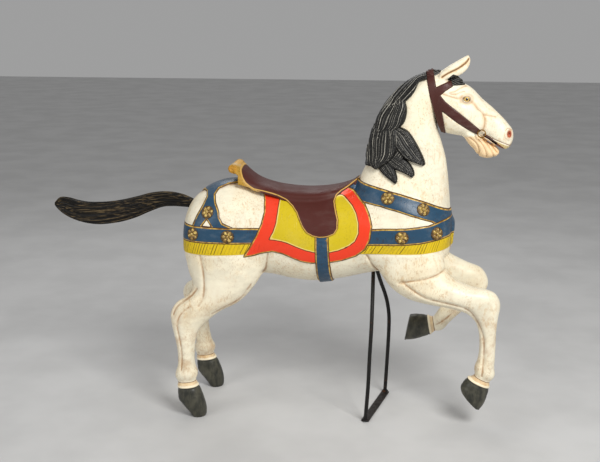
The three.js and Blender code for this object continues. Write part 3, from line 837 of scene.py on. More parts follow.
# ---------------------------------------------------------------- the mane
# One row is one place along a lock, from root to tip: one edge x, z and the other edge x, z.
LOCKS = [  # rows, height above the neck, number of strands
    ([(492, 1150, 494, 1108), (446, 1140, 462, 1100), (400, 1118, 447, 1071),
      (366, 1085, 431, 1049), (340, 1050, 406, 1029), (322, 1010, 372, 1010),
      (322, 990, 345, 997)], 15, 10),
    ([(360, 1058, 418, 1040), (336, 1032, 424, 1015), (314, 995, 422, 992), (304, 968, 414, 970),
      (300, 940, 392, 952), (300, 915, 352, 930), (306, 902, 328, 912)], 16, 14),
    ([(372, 938, 398, 962), (386, 913, 427, 950), (399, 889, 450, 921), (423, 865, 471, 884),
      (455, 852, 482, 860), (480, 844, 485, 848)], 14, 10),
    ([(300, 950, 394, 950), (292, 918, 400, 920), (290, 890, 396, 890), (293, 864, 386, 868),
      (306, 844, 366, 849), (330, 828, 350, 840)], 18, 14),
    ([(357, 862, 396, 875), (372, 845, 424, 862), (393, 832, 442, 845), (421, 821, 451, 828),
      (447, 808, 453, 816)], 11, 9),
    ([(326, 850, 374, 862), (339, 834, 382, 848), (354, 817, 393, 828), (376, 801, 400, 810),
      (396, 788, 401, 796)], 9, 8),
    ([(330, 882, 358, 862), (317, 864, 344, 846), (304, 849, 328, 837), (293, 840, 299, 834)],
     13, 5),
]
HAIR_BED = [
    (304, 962), (394, 964), (420, 936), (432, 900), (430, 874), (404, 856), (360, 852), (318, 858),
    (304, 880), (299, 920),
]
CREST_ROLL = [
    (494, 1156, 497, 1104), (440, 1125, 452, 1082), (400, 1090, 424, 1048), (366, 1046, 398, 1012),
    (336, 990, 376, 972), (318, 930, 360, 918), (300, 880, 345, 872), (292, 840, 330, 832),
]


def lock_height(rows, high, strands, x, z, turn):
    """Height of a lock of hair over the neck, and how far out of its strand a point stands."""
    (place, half, along), past = sections_at(rows, x, z)
    inside = np.minimum((1 - np.abs(place)) * half, np.where(past > 0, -past, 1e3))
    at = place + 0.045 * np.sin(along * 1.7 + turn)
    at = at + 0.05 * np.sin(5.3 * place + 0.6 * along + turn)
    strand = np.cos(at * strands * math.pi)
    fine = np.cos(at * strands * 2.3 * math.pi + 1.0 + 0.8 * along)
    tall = 0.75 + 0.25 * np.sin(at * strands * 1.27 + 2.1 * turn)
    ridge = tall * (0.68 * strand + 0.32 * fine)
    height = high * (0.45 + 0.55 * rounded(inside, 10)) + 2.0 * ridge * ease(inside, 0, 4)
    height = np.where(inside > 0, height, np.maximum(-9, high * 0.45 + inside * 5))
    return height, ridge, inside


def hair_at(x, z):
    near = np.full(np.shape(x), -9.0)
    ridge = np.zeros(np.shape(x))
    for k in (1, 3, 0, 6, 5, 4, 2):
        rows, high, strands = LOCKS[k]
        height, strand, inside = lock_height(rows, high, strands, x, z, k)
        top = height > near
        near = np.where(top, height, near)
        ridge = np.where(top, strand * ease(inside, 0, 6), ridge)
    bed = within(HAIR_BED, x, z)
    low = np.minimum(8, bed * 2)
    ridge = np.where(low > near, np.cos((x * 0.8 - z * 0.6) * 2 * math.pi / 7), ridge)
    near = np.maximum(near, low)
    far, far_ridge, _ = lock_height(CREST_ROLL, 13, 5, x, z, 3)
    return near, ridge, far, far_ridge


def carve_mane(step):
    wood = Block((280, -125, 776), (492, 84, 1166), step)
    wood.add(NECK)
    wood.add(TORSO, soft=SHOULDER_HOLLOW)
    wood.add(HEAD, soft=THROAT_HOLLOW)
    skin = wood.depth.copy()
    near, _, far, _ = hair_at(wood.side_x, wood.side_z)
    wood.raise_by(near, far, turn=14)
    wood.cut(-(skin + 7))
    wood.limit(past_crown(wood.side_x, wood.side_z, CROWN_BACK) - 2)
    mesh, points = carved("horse_mane", wood, 170000)
    x, y, z = points.T
    _, ridge, _, far_ridge = hair_at(x, z)
    note(mesh, "strand", np.where(y < 0, ridge, far_ridge))
    note_hollows_and_edges(mesh, wood, points)
    return mesh


# ---------------------------------------------------------------- the saddle
def carve_saddle(step):
    wood = Block((-168, -170, 590), (292, 170, 846), step)
    wood.add(TORSO)
    wood.add(NECK, soft=SHOULDER_HOLLOW)
    skin = wood.depth.copy()
    x, z = wood.side_x, wood.side_z
    leather = within(SADDLE_LEATHER, x, z)
    near = FLAP_RAISE * rounded(leather, 5) + 1.6 * bump(leather - 3, 2.4)
    near = np.where(leather > 0, near, np.maximum(-8, leather * 4))
    wood.raise_by(near, near)
    wood.cut(-(skin + 5))
    wood.add(SEAT, soft=8, exponent=2.8)
    angle = np.arctan2(z - SCROLL[1], x - SCROLL[0])
    turn = np.hypot(x - SCROLL[0], z - SCROLL[1])
    barrel = turn - SCROLL[2]
    ends = np.abs(wood.axes[1])[None, :, None] - SCROLL[3]
    curl = 1.6 * np.cos(angle + turn * 2 * math.pi / 9)[:, None, :]
    roll = np.maximum(barrel[:, None, :], ends + curl).astype(np.float32)
    wood.depth = joined(wood.depth, roll, 4)
    wood.cut(-(skin + 9))
    shape = np.maximum(np.maximum(leather + 5, within(CANTLE_PANEL, x, z)), x - 262)
    wood.limit(-np.maximum(shape, -barrel + 3))
    # the tip of the flap slopes down from the neck
    wood.limit(np.where(x > 235, z - 0.35 * (x - 271) - 791, NOT_CUT))
    mesh, points = carved("saddle", wood, 120000)
    x, y, z = points.T
    roll_end = SCROLL[2] + 3 - np.hypot(x - SCROLL[0], z - SCROLL[1])
    roll_end = np.minimum(roll_end, np.abs(y) - SCROLL[3] + 12)
    roll_end = np.minimum(roll_end, np.minimum(-110 - x, 829 - z))
    notes(mesh, leather=within(SADDLE_LEATHER, x, z), scroll=roll_end)
    note_hollows_and_edges(mesh, wood, points)
    return mesh


# ---------------------------------------------------------------- the tail
def carve_tail(along, around):
    """Strands of hair run from the root to the tip, turning a little as they go."""
    rows = drawn_smooth(TAIL, along)
    s = np.linspace(0, 1, len(rows))
    a = np.linspace(0, 2 * math.pi, around, endpoint=False)
    xa, za, xb, zb, _, half = rows.T
    size = np.hypot(xa - xb, za - zb) / 2
    ux, uz = (xa - xb) / (2 * size), (za - zb) / (2 * size)
    turn = a[None, :] + 0.9 * s[:, None] + 0.12 * np.sin(9 * s[:, None])
    strand = np.cos(turn * 15 + 1.3 * np.sin(6 * s)[:, None])
    fine = np.cos(turn * 29 + 2 + 2.1 * np.sin(5 * s)[:, None])
    ridge = 0.7 * strand + 0.3 * fine
    deep = (1.9 * np.minimum(1, size / 14))[:, None] * ridge
    c, n = np.cos(a)[None, :], np.sin(a)[None, :]
    reach = size[:, None] * np.sign(c) * np.abs(c) ** 0.92 + deep * c
    x = ((xa + xb) / 2)[:, None] + ux[:, None] * reach
    z = ((za + zb) / 2)[:, None] + uz[:, None] * reach
    y = half[:, None] * np.sign(n) * np.abs(n) ** 0.92 + deep * n
    points = np.stack([x, y, z], 2).reshape(-1, 3)
    middles = np.array([points[:around].mean(0), points[-around:].mean(0)])
    points = np.concatenate([points, middles])
    mesh = closed_mesh("horse_tail", points, *rings_closed(len(rows), around))
    note(mesh, "strand", np.concatenate([ridge.ravel(), [0, 0]]))
    return mesh


def rings_closed(count, around):
    """Faces of a tube of rings, four-sided along it and three-sided over each end."""
    i, j = np.arange(count - 1)[:, None] * around, np.arange(around)[None, :]
    k = (j + 1) % around
    quads = np.stack([i + j, i + k, i + around + k, i + around + j], 2).reshape(-1, 4)
    first, start = count * around, (count - 1) * around
    j, k = j[0], k[0]
    caps = np.concatenate([
        np.stack([np.full(around, first), k, j], 1),
        np.stack([np.full(around, first + 1), start + j, start + k], 1),
    ])
    return quads, caps


def closed_mesh(name, points, quads, triangles):
    mesh = bpy.data.meshes.new(name)
    mesh.from_pydata((np.asarray(points) * MM).tolist(), [], quads.tolist() + triangles.tolist())
    if signed_volume(points, quads) < 0:
        mesh.flip_normals()
    mesh.shade_smooth()
    return mesh


def signed_volume(points, quads):
    p = points - points.mean(0)
    a, b, c, d = (p[quads[:, k]] for k in range(4))
    return sum(np.einsum("ij,ij->i", a, np.cross(*pair)).sum() for pair in ((b, c), (c, d)))


# ---------------------------------------------------------------- node trees
class Wiring:
    """Puts nodes into a tree and joins them up."""

    def __init__(self, tree):
        self.tree = tree

    def node(self, kind, settings=None, **inputs):
        made = self.tree.nodes.new(kind)
        for key, value in (settings or {}).items():
            setattr(made, key, value)
        for key, value in inputs.items():
            self.feed(made.inputs[key.replace("_", " ")], value)
        return made

    def feed(self, socket, value):
        if isinstance(value, bpy.types.NodeSocket):
            self.tree.links.new(value, socket)
        else:
            socket.default_value = value


class Steps(Wiring):
    """A geometry node tree, built one step at a time, with named sizes."""

    def __init__(self, name, **sizes):
        super().__init__(bpy.data.node_groups.new(name, "GeometryNodeTree"))
        self.add_socket("Geometry", "INPUT", "NodeSocketGeometry")
        self.sockets = {}
        for size, value in sizes.items():
            kind = "NodeSocketInt" if isinstance(value, int) else "NodeSocketFloat"
            socket = self.add_socket(size, "INPUT", kind)
            socket.default_value = value
            self.sockets[size] = socket.identifier
        self.add_socket("Geometry", "OUTPUT", "NodeSocketGeometry")
        self.given = {socket.name: socket for socket in self.node("NodeGroupInput").outputs}

    def add_socket(self, label, way, kind):
        return self.tree.interface.new_socket(label, in_out=way, socket_type=kind)

    def step(self, kind, settings=None, **inputs):
        return self.node(kind, settings, **inputs).outputs[0]

    def joined(self, *parts):
        made = self.node("GeometryNodeJoinGeometry")
        for part in parts:
            self.feed(made.inputs[0], part)
        return made.outputs[0]

    def end(self, geometry, finish=None):
        painted = self.step("GeometryNodeRealizeInstances", Geometry=geometry)
        painted = self.step("GeometryNodeSetShadeSmooth", Geometry=painted)
        if finish:
            painted = self.step("GeometryNodeSetMaterial", Geometry=painted, Material=finish)
        self.feed(self.node("NodeGroupOutput").inputs[0], painted)

    def run(self, name, mesh, **sizes):
        """The mesh that the tree makes from this one, with its own sizes."""
        helper = piece_of(name + "_start", mesh)
        modifier = helper.modifiers.new("steps", "NODES")
        modifier.node_group = self.tree
        for size, value in sizes.items():
            modifier[self.sockets[size]] = value
        graph = bpy.context.evaluated_depsgraph_get()
        made = bpy.data.meshes.new_from_object(helper.evaluated_get(graph))
        bpy.data.objects.remove(helper)
        return made


def rosette_steps(finish, dark):
    """A flower of round petals about a boss, inside a wire rim, set on each given point."""
    s = Steps("rosette", petals=6, petal_ring=0.0118, petal_size=0.0072, boss=0.0058, rim=0.0200)
    ring = s.step("GeometryNodeMeshCircle", Vertices=s.given["petals"],
                  Radius=s.given["petal_ring"])
    petal = s.step("GeometryNodeMeshUVSphere", Segments=10, Rings=6, Radius=s.given["petal_size"])
    petal = s.step("GeometryNodeTransform", Geometry=petal, Scale=(1.05, 0.80, 0.8))
    place = s.step("GeometryNodeInputPosition")
    turn = "FunctionNodeAlignRotationToVector"
    outward = s.step(turn, {"axis": "X", "pivot_axis": "Z"}, Vector=place)
    petals = s.step("GeometryNodeInstanceOnPoints", Points=ring, Instance=petal, Rotation=outward)
    boss = s.step("GeometryNodeMeshUVSphere", Segments=14, Rings=8, Radius=s.given["boss"])
    boss = s.step("GeometryNodeTransform", Geometry=boss, Translation=(0, 0, 0.0022),
                  Scale=(1, 1, 0.85))
    hoop = s.step("GeometryNodeCurvePrimitiveCircle", Resolution=30, Radius=s.given["rim"])
    wire = s.step("GeometryNodeCurvePrimitiveCircle", Resolution=8, Radius=0.0011)
    rim = s.step("GeometryNodeCurveToMesh", Curve=hoop, Profile_Curve=wire)
    back = s.step("GeometryNodeMeshUVSphere", Segments=28, Rings=8, Radius=s.given["rim"])
    back = s.step("GeometryNodeTransform", Geometry=back, Scale=(1, 1, 0.12))
    back = s.step("GeometryNodeSetMaterial", Geometry=s.joined(back, rim), Material=dark)
    raised = s.step("GeometryNodeSetMaterial", Geometry=s.joined(petals, boss), Material=finish)
    flower = s.joined(raised, back)
    of_point = {"data_type": "FLOAT_VECTOR"}
    facing = s.step("GeometryNodeInputNamedAttribute", of_point, Name="outward")
    turned = s.step(turn, {"axis": "Z"}, Vector=facing)
    dot = s.step("GeometryNodeMeshToPoints", Mesh=s.given["Geometry"])
    s.end(s.step("GeometryNodeInstanceOnPoints", Points=dot, Instance=flower, Rotation=turned))
    return s


def bar_steps(finish):
    """Round metal along a path."""
    s = Steps("round_bar", radius=0.00635, sides=20)
    path = s.step("GeometryNodeMeshToCurve", Mesh=s.given["Geometry"])
    section = s.step("GeometryNodeCurvePrimitiveCircle", Resolution=s.given["sides"],
                     Radius=s.given["radius"])
    bar = s.step("GeometryNodeCurveToMesh", Curve=path, Profile_Curve=section, Fill_Caps=True)
    s.end(bar, finish)
    return s


def path_mesh(points, closed=False):
    mesh = bpy.data.meshes.new("path")
    edges = [(i, i + 1) for i in range(len(points) - 1)]
    if closed:
        edges.append((len(points) - 1, 0))
    mesh.from_pydata((np.asarray(points, float) * MM).tolist(), edges, [])
    return mesh


def merged(name, meshes):
    """One mesh from several, which keep their finishes."""
    helpers = [piece_of(name, mesh) for mesh in meshes]
    with bpy.context.temp_override(active_object=helpers[0], selected_editable_objects=helpers):
        bpy.ops.object.join()
    return helpers[0]


# ---------------------------------------------------------------- small pieces
def make_rosettes(finish, dark):
    points, outward = (np.array([place[k] for place in PLACES]) for k in (0, 1))
    mesh = bpy.data.meshes.new("rosette_places")
    mesh.from_pydata((points * MM).tolist(), [], [])
    facing = mesh.attributes.new("outward", "FLOAT_VECTOR", "POINT")
    facing.data.foreach_set("vector", outward.astype(np.float32).ravel())
    return piece_of("harness_rosettes", rosette_steps(finish, dark).run("harness_rosettes", mesh))


def make_eye(name, side, finish):
    """A glass ball with an amber ring, painted by its distance from the pupil's middle."""
    across, down = 40, 28
    x0, z0, r = EYE[0], EYE[1], EYE[2] - 0.2
    polar = np.linspace(0, math.pi, down + 1)[1:-1]
    a = np.linspace(0, 2 * math.pi, across, endpoint=False)
    out, up = np.sin(polar)[:, None], np.cos(polar)[:, None]
    rings = np.stack([out * np.cos(a), up + 0 * a, out * np.sin(a)], 2).reshape(-1, 3)
    unit = np.concatenate([rings, [(0, 1, 0), (0, -1, 0)]])
    centre = np.array((x0, side * 41.8, z0))
    mesh = closed_mesh("eye", unit * r + centre, *rings_closed(down - 1, across))
    gaze = unit - np.array((0.14, side, 0.02)) / math.sqrt(1.02)
    note(mesh, "iris", np.linalg.norm(gaze, axis=1) * r)
    return piece_of(name, mesh, finish)


def make_ring(name, steps, node):
    """A bit ring of round wire, lying against the cheek."""
    low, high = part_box(node)
    middle = (low + high) / 2 / MM
    r = (high.x - low.x) / 2 / MM - 1.8
    a = np.linspace(0, 2 * math.pi, 40, endpoint=False)
    path = np.stack([middle.x + r * np.cos(a), np.full(40, middle.y), middle.z + r * np.sin(a)], 1)
    return piece_of(name, steps.run(name, path_mesh(path, closed=True), radius=0.0018, sides=12))


WELD_RADIUS = 8.2
WELDS = [  # middle, radius of the wire, lumps around it
    ((315.4, -118.8, 7), 2.4, 9), ((364.2, 142.6, 7), 2.4, 11),
    ((326, -9, 484.6), 2.2, 8), ((335, 17, 484.6), 2.2, 10),
]
NEAR_FOOT, FAR_FOOT = (313, -119), (366, 145)  # ends of the bar on the floor
NEAR_ROD = [(326, -6, 487), (327, -30, 440), (328, -60, 385), (328, -90, 309), (325, -106, 220),
            (322, -114, 120), (315, -119, 3)]
FAR_ROD = [(334, 14, 487), (347, 48, 432), (360, 84, 381), (369, 105, 337), (374, 118, 290),
           (374, 127, 235), (371, 133, 150), (364, 143, 3)]


def flat_bar(size, centre, turn, bevel, finish):
    """Flat iron with its edges broken, its long edges cut into short lengths."""
    bm = bmesh.new()
    bmesh.ops.create_cube(bm, size=1)
    bmesh.ops.scale(bm, vec=Vector(size) * MM, verts=bm.verts)
    bmesh.ops.bevel(bm, geom=bm.edges[:], offset=bevel * MM, segments=3, affect="EDGES",
                    profile=0.6)
    long = [e for e in bm.edges if abs((e.verts[0].co - e.verts[1].co).x) > size[0] * MM * 0.5]
    bmesh.ops.subdivide_edges(bm, edges=long, cuts=24, use_grid_fill=True)
    place = Matrix.Translation(Vector(centre) * MM) @ Matrix.Rotation(turn, 4, "Z")
    bmesh.ops.transform(bm, matrix=place, verts=bm.verts)
    mesh = bpy.data.meshes.new("flat_bar")
    bm.to_mesh(mesh)
    bm.free()
    mesh.materials.append(finish)
    mesh.shade_smooth()
    return mesh


def weld(steps, centre, wire, lumps):
    """A lumpy ring of weld around the end of a rod."""
    a = np.linspace(0, 2 * math.pi, 48, endpoint=False)
    r = WELD_RADIUS + 0.5 * np.sin(a * lumps)
    path = np.stack([centre[0] + r * np.cos(a), centre[1] + r * np.sin(a), centre[2] + 0 * a], 1)
    return steps.run("weld", path_mesh(path, closed=True), radius=wire * MM, sides=8)


def make_prop(steps, iron, rust):
    turn = math.atan2(FAR_FOOT[1] - NEAR_FOOT[1], FAR_FOOT[0] - NEAR_FOOT[0])
    meshes = [
        steps.run("near_rod", path_mesh(drawn_smooth(NEAR_ROD, 8))),
        steps.run("far_rod", path_mesh(drawn_smooth(FAR_ROD, 8))),
        flat_bar((267, 25, 6), (340, 12, 3.01), turn, 1.2, rust),
        flat_bar((70, 44, 5), (332, 6, 488.1), 0, 1.2, iron),
    ]
    return merged("prop_stand_iron", meshes + [weld(steps, *row) for row in WELDS])


# ---------------------------------------------------------------- finishes
def tint(red, green, blue):
    """A paint colour as mixed on the card, 0 to 255."""
    return tuple(
        v / 12.92 if v <= 0.04045 else ((v + 0.055) / 1.055) ** 2.4
        for v in (red / 255, green / 255, blue / 255)
    ) + (1,)


class Mixing(Wiring):
    """Masks and colours worked out in a shader tree."""

    def math(self, what, a, b=0.0, clamp=False):
        made = self.node("ShaderNodeMath", {"operation": what, "use_clamp": clamp})
        self.feed(made.inputs[0], a)
        self.feed(made.inputs[1], b)
        return made.outputs[0]

    def times(self, a, b, clamp=False):
        return self.math("MULTIPLY", a, b, clamp)

    def plus(self, a, b):
        return self.math("ADD", a, b)

    def less(self, a, b):
        return self.math("SUBTRACT", a, b)

    def ramp(self, value, low, high, start=0.0, end=1.0):
        made = self.node("ShaderNodeMapRange", {"interpolation_type": "SMOOTHSTEP"}, Value=value)
        limits = {"From Min": low, "From Max": high, "To Min": start, "To Max": end}
        for name, number in limits.items():
            self.feed(made.inputs[name], number)
        return made.outputs[0]

    def band(self, value, low, high, soft):
        """1 between low and high, 0 beyond."""
        return self.times(self.ramp(value, low - soft, low + soft),
                         self.ramp(value, high - soft, high + soft, 1.0, 0.0))

    def mix(self, mask, below, above):
        made = self.node("ShaderNodeMix", {"data_type": "RGBA"})
        self.feed(made.inputs[0], mask)
        self.feed(made.inputs[6], below)
        self.feed(made.inputs[7], above)
        return made.outputs[2]

    def over(self, colour, paint, value, low, high, amount=None):
        """Paint over the colour, more and more of it as value goes from low to high."""
        mask = self.ramp(value, low, high)
        return self.mix(self.times(mask, amount) if amount else mask, colour, paint)

    def note(self, name):
        return self.node("ShaderNodeAttribute", {"attribute_name": name}).outputs["Fac"]

    def place(self, stretch=(1, 1, 1)):
        at = self.node("ShaderNodeTexCoord").outputs["Object"]
        return self.node("ShaderNodeMapping", Vector=at, Scale=stretch).outputs[0]

    def along(self, axis):
        """How far along an axis of the piece, 0 for x to 2 for z, in metres."""
        return self.node("ShaderNodeSeparateXYZ", Vector=self.place()).outputs[axis]

    def noise(self, scale, detail=3.0, rough=0.55, stretch=(1, 1, 1)):
        made = self.node("ShaderNodeTexNoise", Vector=self.place(stretch), Scale=scale,
                         Detail=detail, Roughness=rough)
        return made.outputs["Fac"]

    def use(self, group, **inputs):
        return self.node("ShaderNodeGroup", {"node_tree": group}, **inputs).outputs


def shared_effect(name, inputs, outputs):
    group = bpy.data.node_groups.new(name, "ShaderNodeTree")
    for label, value in inputs:
        kind = "NodeSocketColor" if isinstance(value, tuple) else "NodeSocketFloat"
        group.interface.new_socket(label, in_out="INPUT", socket_type=kind).default_value = value
    for label, kind in outputs:
        group.interface.new_socket(label, in_out="OUTPUT", socket_type=kind)
    given = group.nodes.new("NodeGroupInput").outputs
    out = group.nodes.new("NodeGroupOutput").inputs
    return group, Mixing(group), given, out


def brushed_paint():
    """Hand-brushed enamel: slow changes of tone, brush streaks, and a height for them."""
    group, w, given, out = shared_effect(
        "brushed_paint", [("Colour", (1, 1, 1, 1)), ("Change", 0.1)],
        [("Colour", "NodeSocketColor"), ("Height", "NodeSocketFloat")],
    )
    slow = w.noise(9, 2)
    streak = w.noise(60, 3, 0.6, (0.35, 1, 1))
    grain = w.noise(420, 2, 0.5)
    tone = w.plus(w.times(slow, 0.6), w.times(streak, 0.4))
    dark = w.times(w.ramp(tone, 0.55, 0.35), given["Change"])
    light = w.times(w.ramp(tone, 0.5, 0.72), given["Change"])
    colour = w.mix(dark, given["Colour"], tint(70, 50, 30))
    w.feed(out[0], w.mix(light, colour, tint(255, 250, 236)))
    w.feed(out[1], w.plus(w.times(streak, 0.7), w.times(grain, 0.3)))
    return group


def antique_wash_and_hollow_shade():
    """Brown glaze, which is also painted shade: wiped off the high places and left in the hollows,
    with small scuffs.
    """
    group, w, given, out = shared_effect(
        "antique_wash_and_hollow_shade",
        [("Colour", (1, 1, 1, 1)), ("Glaze", (0.2, 0.1, 0.05, 1)), ("Hollow", 0.0),
         ("Strength", 1.0), ("Scuffs", 0.3)],
        [("Colour", "NodeSocketColor"), ("Height", "NodeSocketFloat")],
    )
    cloud = w.noise(26, 4, 0.65)
    speck = w.noise(190, 5, 0.72, (1, 1, 0.55))
    patch = w.noise(14, 2, 0.5)
    # darker in the hollows: the glaze held there, and painted shade
    glaze_and_shade_amount = w.times(w.ramp(given["Hollow"], 0.10, 0.75), w.ramp(cloud, 0.25, 0.75, 0.55, 1.0))
    mask = w.times(glaze_and_shade_amount, given["Strength"], clamp=True)
    colour = w.mix(mask, given["Colour"], given["Glaze"])
    scuff = w.times(w.ramp(speck, 0.525, 0.64), w.ramp(patch, 0.40, 0.60))
    scuff = w.times(scuff, given["Scuffs"], clamp=True)
    w.feed(out[0], w.mix(scuff, colour, given["Glaze"]))
    w.feed(out[1], scuff)
    return group


def fine_crackle():
    """Hair cracks in old varnish."""
    group, w, given, out = shared_effect(
        "fine_crackle", [("Width", 0.04)], [("Cracks", "NodeSocketFloat")]
    )
    cells = w.node("ShaderNodeTexVoronoi", {"feature": "DISTANCE_TO_EDGE"},
                   Vector=w.place((1, 1, 0.55)), Scale=62.0)
    line = w.less(1.0, w.math("DIVIDE", cells.outputs[0], given["Width"], clamp=True))
    patch = w.ramp(w.noise(11, 3, 0.6), 0.47, 0.66)
    w.feed(out[0], w.times(line, patch))
    return group


PAINT, WASH_AND_HOLLOW_SHADE, CRACKLE = brushed_paint(), antique_wash_and_hollow_shade(), fine_crackle()


class Finish(Mixing):
    """One finish, with its principled shader."""

    def __init__(self, name, rough, **constants):
        self.material = bpy.data.materials.new(name)
        self.material.use_nodes = True
        super().__init__(self.material.node_tree)
        self.shader = self.tree.nodes["Principled BSDF"]
        self.shader.inputs["Roughness"].default_value = rough
        for key, value in constants.items():
            self.shader.inputs[key.replace("_", " ")].default_value = value

    def coat(self, colour, change=0.1):
        """Brushed enamel and its height."""
        return self.use(PAINT, Colour=colour, Change=change)[:2]

    def washed_and_shaded(self, colour, glaze, strength, scuffs):
        return self.use(WASH_AND_HOLLOW_SHADE, Colour=colour, Glaze=glaze, Hollow=self.note("hollow"),
                        Strength=strength, Scuffs=scuffs)[0]

    def gilt(self):
        """Gold paint over brown."""
        patch = self.ramp(self.noise(70, 3, 0.6), 0.35, 0.65)
        return self.mix(patch, tint(140, 100, 30), tint(214, 174, 78))

    def outlined(self, colour, edge, inner=(0.4, 3.6), outer=(-2.4, 0.4), gold=None):
        """A gold line just inside an edge and a brown one just outside it."""
        waver = self.times(self.less(self.noise(35, 2, 0.5), 0.5), 2.2)
        at = self.plus(edge, waver)
        colour = self.mix(self.band(at, outer[0], outer[1], 0.5), colour, tint(74, 44, 22))
        broken = self.ramp(self.noise(48, 3, 0.6), 0.28, 0.42, 0.45, 1.0)
        line = self.times(self.band(at, inner[0], inner[1], 0.6), broken)
        return self.mix(line, colour, gold or self.gilt())

    def finish(self, colour, height=None, roughness=None, strength=0.3, distance=0.001):
        self.feed(self.shader.inputs["Base Color"], colour)
        if roughness is not None:
            self.feed(self.shader.inputs["Roughness"], roughness)
        if height is not None:
            bump = self.node("ShaderNodeBump", Height=height, Strength=strength, Distance=distance)
            self.feed(self.shader.inputs["Normal"], bump.outputs[0])
        return self.material


IVORY, IVORY_SHADE = tint(244, 236, 212), tint(168, 120, 68)
RED, YELLOW, BLUE = tint(234, 62, 32), tint(222, 190, 22), tint(38, 72, 98)
MAROON, UMBER = tint(76, 31, 25), tint(54, 36, 20)
ENAMEL = {"Coat_Weight": 0.12, "Coat_Roughness": 0.25, "Specular_IOR_Level": 0.28}
PAINT_EDGE = -0.6, 0.6  # where a painted field begins, in millimetres from its outline


def aged_ivory(f, scuffs=0.42, strength=1.0):
    """Cream enamel under an antique glaze and painted shade in the hollows, with its height."""
    colour, height = f.coat(IVORY, 0.14)
    warm = f.ramp(f.noise(7, 3, 0.55), 0.45, 0.7, 0.0, 0.28)
    colour = f.mix(warm, colour, tint(232, 208, 160))
    cracks = f.use(CRACKLE, Width=0.035)[0]
    colour = f.mix(f.times(cracks, 0.3), colour, IVORY_SHADE)
    rubs = f.ramp(f.noise(90, 5, 0.75, (1, 1, 0.45)), 0.50, 0.64)
    rubs = f.times(rubs, f.ramp(f.noise(10, 3), 0.38, 0.58))
    colour = f.mix(f.times(rubs, 0.42), colour, tint(204, 160, 96))
    # darker and browner towards the bottom, in patches
    low_down = f.ramp(f.along(2), 0.56, 0.12, 0.0, 0.55)
    low_tan_patches = f.times(low_down, f.ramp(f.noise(24, 4, 0.65), 0.42, 0.7))
    colour = f.mix(low_tan_patches, colour, tint(176, 130, 80))
    return f.washed_and_shaded(colour, IVORY_SHADE, strength, scuffs), f.less(height, f.times(cracks, 0.5))


def glazed_and_shaded(f, colour, change, strength=0.75, scuffs=0.35, glaze=UMBER):
    """An enamel colour under its own antique glaze, which is also painted shade in the hollows."""
    return f.washed_and_shaded(f.coat(colour, change)[0], glaze, strength, scuffs)


def painted_body():
    f = Finish("painted_body", 0.42, **ENAMEL)
    colour, height = aged_ivory(f)
    # tan along the carved lines: glaze held in them, and painted shade
    glaze_and_shade_amount = f.ramp(f.noise(30, 3), 0.3, 0.62, 0.15, 0.7)
    colour = f.over(colour, tint(160, 108, 58), f.note("groove"), 0.2, 0.95, glaze_and_shade_amount)
    fringe, belt, strap = f.note("fringe"), f.note("belt"), f.note("strap")
    blanket, field, girth = f.note("blanket"), f.note("field"), f.note("girth")
    # fringe: yellow tassels with slanting cuts between them, painted dark as shade in the cuts
    tassel = f.math("DIVIDE", f.note("tassel"), 11.0)
    cell = f.less(tassel, f.math("FLOOR", tassel))
    cut = f.times(f.ramp(f.math("ABSOLUTE", f.less(cell, 0.5)), 0.34, 0.46), f.ramp(fringe, 1.5, 5))
    whole = f.math("ROUND", tassel)
    number = f.node("ShaderNodeTexWhiteNoise", {"noise_dimensions": "1D"}, W=whole).outputs[0]
    cut_shade = f.times(cut, f.ramp(number, 0.3, 0.7, 0.12, 1.0))
    yellow = glazed_and_shaded(f, YELLOW, 0.04, 0.7, 0.5, tint(110, 76, 4))
    colour = f.over(colour, f.mix(cut_shade, yellow, tint(92, 70, 14)), fringe, *PAINT_EDGE)
    blue = glazed_and_shaded(f, BLUE, 0.07, 0.8, 0.6)
    for edge in (strap, belt):
        colour = f.outlined(f.over(colour, blue, edge, *PAINT_EDGE), edge)
    red = glazed_and_shaded(f, RED, 0.015, 0.5, 0.15, tint(120, 20, 10))
    middle = glazed_and_shaded(f, tint(208, 184, 26), 0.03, 0.6, 0.2, tint(110, 84, 4))
    colour = f.over(colour, red, blanket, *PAINT_EDGE)
    colour = f.over(colour, middle, field, *PAINT_EDGE)
    colour = f.outlined(colour, blanket)
    colour = f.outlined(colour, field, (-0.6, 2.4), (-3.2, -0.8), tint(226, 202, 116))
    colour = f.outlined(f.over(colour, blue, girth, *PAINT_EDGE), girth)
    # hooves, dark, under a tan collar
    hoof = f.note("hoof")
    grain = f.noise(45, 4, 0.6, (1, 1, 0.5))
    horn = f.over(tint(42, 43, 38), tint(84, 82, 70), grain, 0.3, 0.75)
    collar = f.over(tint(200, 148, 84), tint(232, 194, 128), f.noise(80, 3), 0.3, 0.7)
    colour = f.mix(f.times(f.band(hoof, -17, -7, 1.5), 0.55), colour, collar)
    colour = f.mix(f.band(hoof, -18.5, -16.5, 0.5), colour, tint(120, 78, 40))
    colour = f.mix(f.times(f.band(hoof, -6, -1, 0.6), 0.8), colour, tint(250, 236, 204))
    colour = f.over(colour, horn, hoof, -1.0, 0.5)
    edge = f.math("MINIMUM", f.math("ABSOLUTE", blanket), f.math("ABSOLUTE", field))
    height = f.plus(height, f.times(f.band(edge, -1, 2.5, 0.8), 1.2))
    height = f.less(height, f.times(cut, 2.0))
    rough = f.ramp(f.noise(40, 3), 0.3, 0.7, 0.34, 0.5)
    rough = f.over(rough, (0.32, 0.32, 0.32, 1), f.math("MAXIMUM", belt, strap), -0.5, 0.5)
    return f.finish(colour, height, rough, 0.55, 0.0012)


